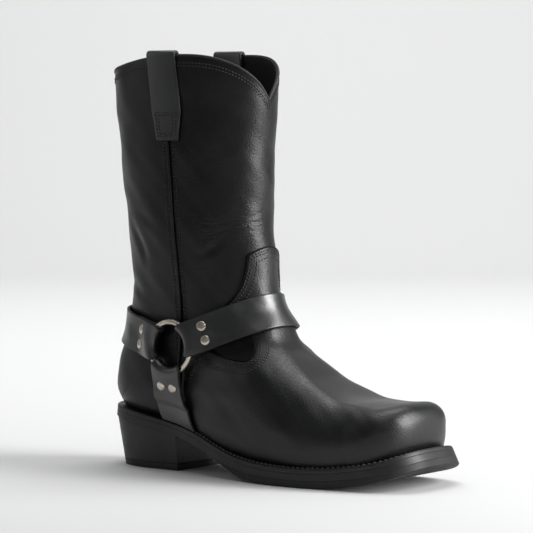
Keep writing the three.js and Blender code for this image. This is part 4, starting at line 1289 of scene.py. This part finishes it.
def soleEdgeFinish(name, sizes):
    # dressed leather edge: fine streaks run level along it
    material, tree, shader = newMaterial(name)
    place = addNode(tree, "ShaderNodeTexCoord").outputs["Object"]
    stretched = addNode(tree, "ShaderNodeMapping", None, Vector=place, Scale=(1, 1, sizes["stretch"]))
    streaks = addNode(
        tree, "ShaderNodeTexNoise", None, Vector=stretched.outputs["Vector"], Scale=sizes["streak"],
        Detail=5.0, Roughness=0.65)
    drift = addNode(tree, "ShaderNodeTexNoise", None, Vector=place, Scale=45.0, Detail=4.0)
    specks = addNode(tree, "ShaderNodeTexNoise", None, Vector=place, Scale=900.0, Detail=2.0)
    colour = blendColour(
        tree, rampBetween(tree, streaks.outputs["Fac"], 0.35, 0.7, 0, 1), sizes["dark"], sizes["light"])
    tree.links.new(colour, shader.inputs["Base Color"])
    rough = rampBetween(tree, drift.outputs["Fac"], 0.3, 0.7, sizes["smoothest"], sizes["roughest"])
    tree.links.new(rough, shader.inputs["Roughness"])
    layers = addNode(
        tree, "ShaderNodeBump", None, Strength=0.35, Distance=0.0002, Height=streaks.outputs["Fac"])
    fine = addNode(
        tree, "ShaderNodeBump", None, Strength=0.2, Distance=0.00008, Height=specks.outputs["Fac"],
        Normal=layers.outputs["Normal"])
    tree.links.new(fine.outputs["Normal"], shader.inputs["Normal"])
    shader.inputs["Specular IOR Level"].default_value = 0.45
    return material


soleLook = {
    "stretch": 14.0, "streak": 90.0, "dark": (0.005, 0.0049, 0.0048), "light": (0.012, 0.0117, 0.0114),
    "smoothest": 0.42, "roughest": 0.56,
}
treadLook = {
    "stretch": 5.0, "streak": 120.0, "dark": (0.006, 0.0059, 0.0058), "light": (0.012, 0.0119, 0.0117),
    "smoothest": 0.55, "roughest": 0.72,
}


def metalFinish(name, sizes):
    material, tree, shader = newMaterial(name)
    place = addNode(tree, "ShaderNodeTexCoord").outputs["Object"]
    cloud = addNode(tree, "ShaderNodeTexNoise", None, Vector=place, Scale=160.0, Detail=4.0)
    scuff = addNode(tree, "ShaderNodeTexNoise", None, Vector=place, Scale=1400.0, Detail=2.0)
    colour = blendColour(
        tree, rampBetween(tree, cloud.outputs["Fac"], 0.35, 0.7, 0, 1), sizes["bright"], sizes["dull"])
    tree.links.new(colour, shader.inputs["Base Color"])
    tree.links.new(
        rampBetween(tree, cloud.outputs["Fac"], 0.3, 0.7, sizes["smoothest"], sizes["roughest"]),
        shader.inputs["Roughness"])
    bump = addNode(
        tree, "ShaderNodeBump", None, Strength=0.08, Distance=0.00005, Height=scuff.outputs["Fac"])
    tree.links.new(bump.outputs["Normal"], shader.inputs["Normal"])
    shader.inputs["Metallic"].default_value = 1.0
    return material


nickelLook = {
    "bright": (0.66, 0.60, 0.52), "dull": (0.50, 0.45, 0.385), "smoothest": 0.24, "roughest": 0.36}


def threadFinish(name, dark, light):
    material, tree, shader = newMaterial(name)
    place = addNode(tree, "ShaderNodeTexCoord").outputs["Object"]
    ply = addNode(tree, "ShaderNodeTexNoise", None, Vector=place, Scale=2200.0, Detail=1.0)
    tree.links.new(blendColour(tree, ply.outputs["Fac"], dark, light), shader.inputs["Base Color"])
    shader.inputs["Roughness"].default_value = 0.6
    bump = addNode(tree, "ShaderNodeBump", None, Strength=0.4, Distance=0.0001, Height=ply.outputs["Fac"])
    tree.links.new(bump.outputs["Normal"], shader.inputs["Normal"])
    return material


upperLeather = leatherFinish("upper_leather", dict(upperLook, crinkles=[
    {
        "centre": (16, 133, 197), "radius": 0.021, "turn": (0, 0, 0), "stretch": (0.24, 0.24, 1.0),
        "scale": 560.0, "strength": 0.6,
    },
    {
        "centre": (35, 111, 191), "radius": 0.015, "turn": (0.9, 0, 0.4), "stretch": (0.3, 0.3, 1.0),
        "scale": 520.0, "strength": 0.5,
    },
    {
        "centre": (-18, 132, 196), "radius": 0.016, "turn": (0, 0, 0), "stretch": (0.25, 0.25, 1.0),
        "scale": 520.0, "strength": 0.5,
    },
]))
strapLeather = leatherFinish("strap_leather", strapLook)
rawEdgeAndHighlight = leatherFinish("raw_edge_and_highlight", rawEdgeAndHighlightLook)
# finish of the dark vamp-edge bead: edge ink with painted shadow
inkAndShadowEdge = leatherFinish("ink_and_shadow_edge", inkAndShadowLook)
vampLeather = leatherFinish("vamp_leather", vampLook)
liningLeather = leatherFinish("lining_leather", liningLook)
soleLeather = soleEdgeFinish("sole_leather", soleLook)
treadRubber = soleEdgeFinish("tread_rubber", treadLook)
nickel = metalFinish("nickel", nickelLook)
thread = threadFinish("thread", (0.006, 0.006, 0.006), (0.030, 0.030, 0.029))
weltThread = threadFinish("welt_thread", (0.05, 0.048, 0.045), (0.12, 0.115, 0.11))
print("materials ready")

upper = makeUpper([upperLeather, liningLeather])
settle(upper, ["upper"])
vamp = makeVamp([vampLeather])
settle(vamp, ["vamp"])
print("upper and vamp made")

for name, which in (("front", frontStrap), ("heel", heelStrap)):
    piece = makeWrapStrap("harness_" + name, which, [strapLeather, rawEdgeAndHighlight])
    settle(piece, ["strap_" + name])
for label, side in (("outer", 1), ("inner", -1)):
    settle(
        makeLowerStrap("harness_lower_" + label, side, [strapLeather, rawEdgeAndHighlight]),
        ["strap_lower_" + label])
    settle(
        makePiping("seam_bead_" + label, side, [upperLeather]), ["side_piping_" + label])
    settle(
        makePullLoop("pull_strap_" + label, side, [strapLeather, rawEdgeAndHighlight]), ["pull_loop_" + label])
    settle(makeRing("harness_ring_" + label, side, [nickel]), ["ring_" + label])
# the collar bead takes the lighter edge colour, partly as a painted highlight line along the rim
turn = np.linspace(-math.pi, math.pi, 361)[:-1]
rim = raised(levelRing(collarHeight(turn) + 0.25, turn, -0.55))
settle(makeTube("collar_bead", rim, 1.05, [rawEdgeAndHighlight], closed=True))
print("harness, loops and collar bead made")

settle(makeInsole([liningLeather]), ["insole"])
settle(makeWelt([soleLeather]), ["welt"])
settle(
    slab(
        "midsole_layer", soleEdge, roundedProfile(midsoleTop - 2 * boot["gap"], midsoleBottom),
        [soleLeather]),
    ["midsole"])
settle(makeOutsole([treadRubber]), ["outsole"])
settle(
    heelStack("heel_stack", midsoleBottom + 0.05, sole["lift"] + 0.05, None, [soleLeather], 4),
    ["heel_block"])
settle(heelStack("heel_toplift", 0.0, 0.0, sole["lift"], [treadRubber]), ["heel_lift"])
print("sole made")

# Stitches: each row is a line of points with its outward direction; Geometry Nodes lays one short
# thread per step.
def surfaceLine(points, spacing=1.0):
    flat = np.asarray(points, float)
    return resample(flat, max(2, int(np.linalg.norm(np.diff(flat, axis=0), axis=1).sum() / spacing)))


def stitchTemplate(length, thick, material):
    # one thread: a plump little lozenge along x, its middle standing proud
    rings = [
        (-0.5, 0.25, -0.9), (-0.42, 0.75, -0.3), (-0.2, 1.0, 0.15), (0.2, 1.0, 0.15),
        (0.42, 0.75, -0.3), (0.5, 0.25, -0.9),
    ]
    points, sides = [], 6
    for along, wide, lift in rings:
        for k in range(sides):
            a = 2 * math.pi * k / sides
            points.append(
                [
                    along * length, wide * thick * 0.5 * math.cos(a),
                    thick * (0.5 * lift + 0.5 * wide * math.sin(a)),
                ])
    faces = gridFaces(len(rings), sides, closedColumns=True)
    faces += [list(range(sides)), list(range(len(points) - sides, len(points)))]
    mesh = bpy.data.meshes.new("thread_template")
    mesh.from_pydata((np.array(points) / 1000).tolist(), [], faces)
    mesh.materials.append(material)
    shell = bmesh.new()
    shell.from_mesh(mesh)
    bmesh.ops.recalc_face_normals(shell, faces=shell.faces)
    shell.to_mesh(mesh)
    shell.free()
    mesh.shade_smooth()
    template = bpy.data.objects.new("thread_template", mesh)
    bpy.context.scene.collection.objects.link(template)
    return template


def inputSockets(tree):
    # a tree's inputs by name, each with the identifier that a modifier is set by
    return {item.name: item.identifier for item in tree.interface.items_tree if item.in_out == "INPUT"}


def stitchTree():
    # rows of edges become curves, evenly stepped, with a thread at each step turned along the row
    # and outwards
    tree = bpy.data.node_groups.new("stitch_rows", "GeometryNodeTree")
    tree.interface.new_socket("Rows", in_out="INPUT", socket_type="NodeSocketGeometry")
    tree.interface.new_socket("Thread", in_out="INPUT", socket_type="NodeSocketObject")
    tree.interface.new_socket("Pitch", in_out="INPUT", socket_type="NodeSocketFloat")
    tree.interface.new_socket("Seed", in_out="INPUT", socket_type="NodeSocketInt")
    tree.interface.new_socket("Material", in_out="INPUT", socket_type="NodeSocketMaterial")
    tree.interface.new_socket("Stitches", in_out="OUTPUT", socket_type="NodeSocketGeometry")
    given = tree.nodes.new("NodeGroupInput").outputs
    curves = addNode(tree, "GeometryNodeMeshToCurve", None, Mesh=given["Rows"])
    stepped = tree.nodes.new("GeometryNodeResampleCurve")
    if "Mode" in stepped.inputs:
        stepped.inputs["Mode"].default_value = "Length"
    else:
        stepped.mode = "LENGTH"
    tree.links.new(curves.outputs[0], stepped.inputs["Curve"])
    tree.links.new(given["Pitch"], stepped.inputs["Length"])
    outward = addNode(
        tree, "GeometryNodeInputNamedAttribute", {"data_type": "FLOAT_VECTOR"}, Name="outward")
    along = tree.nodes.new("GeometryNodeInputTangent")
    turn = tree.nodes.new("FunctionNodeAxesToRotation")
    turn.primary_axis, turn.secondary_axis = "X", "Z"
    tree.links.new(along.outputs["Tangent"], turn.inputs["Primary Axis"])
    tree.links.new(outward.outputs["Attribute"], turn.inputs["Secondary Axis"])
    size = addNode(tree, "FunctionNodeRandomValue", {"data_type": "FLOAT"}, Seed=given["Seed"])
    size.inputs[2].default_value, size.inputs[3].default_value = 0.93, 1.07
    source = addNode(tree, "GeometryNodeObjectInfo", None, Object=given["Thread"])
    placed = tree.nodes.new("GeometryNodeInstanceOnPoints")
    tree.links.new(stepped.outputs["Curve"], placed.inputs["Points"])
    tree.links.new(source.outputs["Geometry"], placed.inputs["Instance"])
    tree.links.new(turn.outputs["Rotation"], placed.inputs["Rotation"])
    tree.links.new(size.outputs[1], placed.inputs["Scale"])
    real = addNode(tree, "GeometryNodeRealizeInstances", None, Geometry=placed.outputs["Instances"])
    painted = addNode(
        tree, "GeometryNodeSetMaterial", None, Geometry=real.outputs["Geometry"],
        Material=given["Material"])
    out = tree.nodes.new("NodeGroupOutput")
    tree.links.new(painted.outputs["Geometry"], out.inputs["Stitches"])
    return tree


stitching = {"pitch": 2.7, "length": 2.0, "thick": 0.95, "seed": 7}
weltStitching = {"pitch": 4.3, "length": 3.2, "thick": 1.5, "seed": 11, "from": 88.0}
rowsTree = stitchTree()


def stitchRows(name, rows, look, material):
    # rows: a list of (points, outward directions); the result is one mesh of threads
    points, outs, edges = [], [], []
    for line, out in rows:
        first = sum(len(p) for p in points)
        points.append(line)
        outs.append(out)
        edges += [[first + i, first + i + 1] for i in range(len(line) - 1)]
    mesh = bpy.data.meshes.new(name + "_rows")
    mesh.from_pydata(inFrame(np.concatenate(points)).tolist(), edges, [])
    outward = mesh.attributes.new("outward", "FLOAT_VECTOR", "POINT")
    outward.data.foreach_set("vector", np.concatenate(outs).astype(np.float32).ravel())
    piece = bpy.data.objects.new(name, mesh)
    bpy.context.scene.collection.objects.link(piece)
    template = stitchTemplate(look["length"], look["thick"], material)
    growth = piece.modifiers.new("stitches", "NODES")
    growth.node_group = rowsTree
    sockets = inputSockets(rowsTree)
    growth[sockets["Thread"]] = template
    growth[sockets["Pitch"]] = look["pitch"] / 1000
    growth[sockets["Seed"]] = look["seed"]
    growth[sockets["Material"]] = material
    depsgraph = bpy.context.evaluated_depsgraph_get()
    grown = bpy.data.meshes.new_from_object(piece.evaluated_get(depsgraph), depsgraph=depsgraph)
    piece.modifiers.clear()
    piece.data = grown
    bpy.data.objects.remove(template)
    settle(piece)
    print(name, len(grown.polygons), "faces")
    return piece


def skinRow(points, lift):
    # a row on the form's skin, lifted to the surface it is sewn through
    line = surfaceLine(points)
    return line + facing(line) * (lift + relief(line))[:, None], facing(line)


def collarRow(drop):
    turn = np.linspace(-math.pi, math.pi, 721)
    return levelRing(collarHeight(turn) - drop, turn, 0.0)


def besideLine(line, gap):
    # a line on the form moved sideways over its skin, to the right of its run seen from outside
    line = surfaceLine(line)
    ahead = np.gradient(line, axis=0)
    ahead = np.stack(
        [np.convolve(np.pad(ahead[:, axis], 4, "edge"), np.ones(9) / 9, "valid") for axis in range(3)], 1)
    ahead /= np.linalg.norm(ahead, axis=1)[:, None]
    moved = line + gap * np.cross(ahead, facing(line))
    for _ in range(4):
        moved -= facing(moved) * distance(moved)[:, None]
    return moved


stitchLift = 0.12
vampLift = boot["gap"] + boot["vampWall"] + stitchLift
shaftRows = [skinRow(collarRow(drop), stitchLift) for drop in (5.6, 8.0)]
for side in (1, -1):
    z = np.linspace(piping["top"] - 2, piping["bottom"], 300)
    seamLine = sideHit(side, seamStation(z), z)
    for gap in (-3.2, 3.2, -5.0, 5.0):
        shaftRows.append(skinRow(besideLine(seamLine, gap), stitchLift))
stitchRows("shaft_stitches", shaftRows, stitching, thread)

side2d = tongueSide()
both = np.concatenate([side2d[::-1] * [-1, 1], side2d[1:]])
both = resample(np.column_stack([both, 0 * both[:, 0]]), 320)
tongueEdge = hit(
    columnsOf(both[:, 0], 0.28 * boot["soleLength"], both[:, 1]), columnsOf(0 * both[:, 0], 1, 0), 0.0)
vampRows = [skinRow(besideLine(tongueEdge, gap), vampLift) for gap in (-2.0, -3.9, -8.2)]
scoop2d = scoopCurve()
scoop2d = resample(np.column_stack([scoop2d, 0 * scoop2d[:, 0]]), 220)
for side in (1, -1):
    scoopEdge = sideHit(side, scoop2d[:, 0], scoop2d[:, 1])
    for gap in (-2.2, -4.1, -8.8, -10.6):
        vampRows.append(skinRow(besideLine(scoopEdge, side * gap), vampLift))
stitchRows("vamp_stitches", vampRows, stitching, thread)

# The vamp's cut edge gets a fine near-black bead along its corner, from the strap up and round the tongue:
# partly black edge ink, partly the shadow line along the edge painted in as dark colour.
vampEdge = {"radius": 0.6, "sink": 0.25, "points": 180}


def drawInkAndShadowBead(name, line):
    line = resample(surfaceLine(line), vampEdge["points"])
    lift = boot["gap"] + boot["vampWall"] - vampEdge["sink"]
    settle(
        makeTube(
            name, line + facing(line) * (lift + relief(line))[:, None], vampEdge["radius"],
            [inkAndShadowEdge], sides=8))


drawInkAndShadowBead("tongue_edge", tongueEdge[tongueEdge[:, 2] > heightAt(tongue["strapEdge"])])
for side, name in ((1, "outer"), (-1, "inner")):
    drawInkAndShadowBead(f"scoop_edge_{name}", sideHit(side, scoop2d[:, 0], scoop2d[:, 1]))

boxStitch = {"up": 3.2, "top": 21.5, "insets": (0.13, 0.23), "step": 20.0, "width": 24.0, "points": 110}
loopRows = []
loopFace = boot["gap"] + pullLoop["wall"] + stitchLift
loopEnd = boot["shaftHeight"] - pullLoop["drop"]
boxLow, boxHigh = loopEnd + boxStitch["up"], loopEnd + boxStitch["top"]
for side in (1, -1):
    for inset in boxStitch["insets"]:
        reach = 0.5 - inset
        step = boxStitch["step"] * (inset - boxStitch["insets"][0])
        low, high = boxLow + step, boxHigh - step
        corners = np.array([[low, -reach], [low, reach], [high, reach], [high, -reach], [low, -reach]])
        flat = np.column_stack([corners[:, 0], corners[:, 1] * boxStitch["width"], 0 * corners[:, 0]])
        path = resample(flat, boxStitch["points"])
        line = placeLoop(side, path[:, 0], path[:, 1] / boxStitch["width"], 0 * path[:, 0] + loopFace)
        loopRows.append((line, facing(line)))
stitchRows("pull_strap_stitches", loopRows, stitching, thread)

sewn = movedLoop(upperFeather, 0.5 * ledgeAt(upperFeather[:, 1]))
sewn = below(sewn[:, 0], sewn[:, 1], sole["seatGap"] - 0.25)
sewn = sewn[sewn[:, 1] > weltStitching["from"]]
slope = np.gradient(featherHeight(np.linspace(0, 310, 311)))
tilt = np.interp(sewn[:, 1], np.linspace(0, 310, 311), slope)
stitchRows("welt_stitches", [(sewn, columnsOf(0 * tilt, -tilt, 1))], weltStitching, weltThread)
print("stitches made")


# Rivets: twelve domed caps, one for each of the frame's rivets, set on points by Geometry Nodes.
rivet = {"radius": 4.0, "height": 1.45, "rim": 0.5, "sink": 0.35, "seed": 3, "sides": 28}


def capTemplate():
    profile = [(0.97, 0.0), (1.0, 0.5 * rivet["rim"]), (0.985, rivet["rim"]), (0.93, rivet["rim"] + 0.14)]
    for t in np.linspace(0.25, 1, 6)[:-1]:
        lift = rivet["rim"] + 0.14 + (rivet["height"] - rivet["rim"] - 0.14) * math.sin(t * math.pi / 2)
        profile.append((0.93 * math.cos(t * math.pi / 2) ** 0.8, lift))
    points, sides = [], rivet["sides"]
    for share, lift in profile:
        for k in range(sides):
            a = 2 * math.pi * k / sides
            points.append(
                [
                    share * rivet["radius"] * math.cos(a), share * rivet["radius"] * math.sin(a),
                    lift - rivet["sink"],
                ])
    faces = gridFaces(len(profile), sides, closedColumns=True)
    faces += [list(range(sides)), list(range(len(points) - sides, len(points)))]
    mesh = bpy.data.meshes.new("cap_template")
    mesh.from_pydata((np.array(points) / 1000).tolist(), [], faces)
    shell = bmesh.new()
    shell.from_mesh(mesh)
    bmesh.ops.recalc_face_normals(shell, faces=shell.faces)
    shell.to_mesh(mesh)
    shell.free()
    mesh.shade_smooth()
    mesh.set_sharp_from_angle(angle=math.radians(50))
    template = bpy.data.objects.new("cap_template", mesh)
    bpy.context.scene.collection.objects.link(template)
    return template


def rivetTree():
    tree = bpy.data.node_groups.new("rivet_caps", "GeometryNodeTree")
    tree.interface.new_socket("Seats", in_out="INPUT", socket_type="NodeSocketGeometry")
    tree.interface.new_socket("Cap", in_out="INPUT", socket_type="NodeSocketObject")
    tree.interface.new_socket("Seed", in_out="INPUT", socket_type="NodeSocketInt")
    tree.interface.new_socket("Material", in_out="INPUT", socket_type="NodeSocketMaterial")
    tree.interface.new_socket("Caps", in_out="OUTPUT", socket_type="NodeSocketGeometry")
    given = tree.nodes.new("NodeGroupInput").outputs
    outward = addNode(
        tree, "GeometryNodeInputNamedAttribute", {"data_type": "FLOAT_VECTOR"}, Name="outward")
    aim = tree.nodes.new("FunctionNodeAlignRotationToVector")
    aim.axis = "Z"
    tree.links.new(outward.outputs["Attribute"], aim.inputs["Vector"])
    spin = addNode(tree, "FunctionNodeRandomValue", {"data_type": "FLOAT_VECTOR"}, Seed=given["Seed"])
    spin.inputs[0].default_value, spin.inputs[1].default_value = (0.0, 0.0, 0.0), (0.03, 0.03, 6.28)
    turned = addNode(
        tree, "FunctionNodeRotateRotation", {"rotation_space": "LOCAL"}, Rotation=aim.outputs["Rotation"])
    tree.links.new(spin.outputs[0], turned.inputs["Rotate By"])
    source = addNode(tree, "GeometryNodeObjectInfo", None, Object=given["Cap"])
    placed = tree.nodes.new("GeometryNodeInstanceOnPoints")
    tree.links.new(given["Seats"], placed.inputs["Points"])
    tree.links.new(source.outputs["Geometry"], placed.inputs["Instance"])
    tree.links.new(turned.outputs["Rotation"], placed.inputs["Rotation"])
    real = addNode(tree, "GeometryNodeRealizeInstances", None, Geometry=placed.outputs["Instances"])
    painted = addNode(
        tree, "GeometryNodeSetMaterial", None, Geometry=real.outputs["Geometry"],
        Material=given["Material"])
    out = tree.nodes.new("NodeGroupOutput")
    tree.links.new(painted.outputs["Geometry"], out.inputs["Caps"])
    return tree


def makeRivets(name, side, material):
    path = hookPath(strap["lap"] + strap["lowerLapRamp"])
    over = path[len(path) // 2:]

    def lapSurface(which, reach, share):
        height = float(np.interp(reach, over[:, 0], over[:, 1])) + boot["strapWall"] / 2
        if which is lowerStrap:
            return raised(placeLower([side], reach, share, height))[0]
        return raised(placeWrap(which, [side], reach, share, height))[0]

    seats, outs = [], []
    for which in (frontStrap, heelStrap, lowerStrap):
        for across in (-0.5, 0.5):
            reach, share = strap["rivetReach"], across * strap["rivetSpacing"] / strap["width"]
            seat = lapSurface(which, reach, share)
            along = lapSurface(which, reach + 3, share) - lapSurface(which, reach - 3, share)
            sideways = lapSurface(which, reach, share + 0.08) - lapSurface(which, reach, share - 0.08)
            out = np.cross(along, sideways)
            out *= side * np.sign(out[0]) / np.linalg.norm(out)
            seats.append(seat)
            outs.append(out)
    seats, outs = np.array(seats), np.array(outs)
    mesh = bpy.data.meshes.new(name)
    mesh.from_pydata(inFrame(seats).tolist(), [], [])
    mesh.attributes.new("outward", "FLOAT_VECTOR", "POINT").data.foreach_set(
        "vector", outs.astype(np.float32).ravel())
    piece = bpy.data.objects.new(name, mesh)
    bpy.context.scene.collection.objects.link(piece)
    template = capTemplate()
    growth = piece.modifiers.new("caps", "NODES")
    growth.node_group = rivetTree()
    sockets = inputSockets(growth.node_group)
    growth[sockets["Cap"]] = template
    growth[sockets["Seed"]] = rivet["seed"]
    growth[sockets["Material"]] = material
    depsgraph = bpy.context.evaluated_depsgraph_get()
    grown = bpy.data.meshes.new_from_object(piece.evaluated_get(depsgraph), depsgraph=depsgraph)
    piece.modifiers.clear()
    piece.data = grown
    bpy.data.objects.remove(template)
    return piece


for label, side in (("outer", 1), ("inner", -1)):
    nodes = [f"rivet_{end}_{label}_{number}" for end in ("front", "heel", "lower") for number in (1, 2)]
    settle(makeRivets("rivet_caps_" + label, side, nickel), nodes)
print("rivets set")

# Camera at the photo's place, worked out from the boot's outline.
view = {
    "distance": 2261.2,
    "turn": math.radians(37.144),
    "height": 301.84,
    "pitch": math.radians(3.517),
    "lens": 196.21,
    "shift": -0.01683,
    "aimY": 150.0,
}
place = inFrame(
    [
        view["distance"] * math.cos(view["turn"]),
        view["aimY"] + view["distance"] * math.sin(view["turn"]), view["height"],
    ])[0]
cameraData = bpy.data.cameras.new("camera")
cameraData.lens, cameraData.sensor_width, cameraData.shift_x = view["lens"], 36.0, view["shift"]
camera = bpy.data.objects.new("camera", cameraData)
camera.location = place
camera.rotation_euler = (math.pi / 2 - view["pitch"], 0, math.pi / 2 + view["turn"])
bpy.context.scene.collection.objects.link(camera)
bpy.context.scene.camera = camera


def addLight(name, position, target, size, power):
    data = bpy.data.lights.new(name, "AREA")
    data.shape, data.size, data.size_y, data.energy = "RECTANGLE", size[0], size[1], power
    light = bpy.data.objects.new(name, data)
    light.location = position
    light.rotation_euler = (Vector(target) - Vector(position)).to_track_quat("-Z", "Y").to_euler()
    bpy.context.scene.collection.objects.link(light)


lights = [
    ["key", (-0.75, 1.7, 0.85), (0.0, 0.0, 0.14), (1.0, 1.5), 66.0],
    ["top", (0.15, 0.25, 1.75), (0.0, 0.0, 0.1), (0.9, 0.9), 5.0],
    ["fill", (0.9, -1.5, 0.8), (0.0, 0.0, 0.15), (0.8, 1.2), 2.0],
    ["front", (2.0, 1.1, 1.1), (0.0, 0.0, 0.1), (0.8, 0.8), 1.0],
    ["wall", (-0.9, -0.5, 2.6), (-2.3, -1.6, 0.8), (2.4, 1.6), 88.0],
]
for row in lights:
    addLight(*row)

# A pale sweep: level floor that rises in a curve behind the boot, seen from the camera.
sweep = {"front": 3.5, "back": 2.4, "bend": 1.4, "top": 4.0, "half": 4.5}
sweepLine = [[-sweep["front"], 0.0], [sweep["back"], 0.0]]
for a in np.linspace(0, math.pi / 2, 25)[1:]:
    sweepLine.append([sweep["back"] + sweep["bend"] * math.sin(a), sweep["bend"] * (1 - math.cos(a))])
sweepLine.append([sweep["back"] + sweep["bend"], sweep["top"]])
awayX, awayY = -math.cos(view["turn"]), -math.sin(view["turn"])
sweepPoints = []
for reach, z in sweepLine:
    for half in (-sweep["half"], sweep["half"]):
        sweepPoints.append((reach * awayX - half * awayY, reach * awayY + half * awayX, z))
floorMesh = bpy.data.meshes.new("floor")
floorMesh.from_pydata(sweepPoints, [], gridFaces(len(sweepLine), 2))
floorMesh.shade_smooth()
floor = bpy.data.objects.new("floor", floorMesh)
bpy.context.scene.collection.objects.link(floor)
floorPaint, _tree, floorShader = newMaterial("floor_paint")
floorShader.inputs["Base Color"].default_value = (0.68, 0.68, 0.68, 1)
floorShader.inputs["Roughness"].default_value = 0.8
floorShader.inputs["Specular IOR Level"].default_value = 0.2
floorMesh.materials.append(floorPaint)
world = bpy.data.worlds.new("surround")
world.use_nodes = True
world.node_tree.nodes["Background"].inputs["Color"].default_value = (0.95, 0.97, 1.0, 1)
world.node_tree.nodes["Background"].inputs["Strength"].default_value = 0.16
bpy.context.scene.world = world
bpy.context.scene.view_settings.view_transform = "Standard"
print("camera, lights and floor ready")
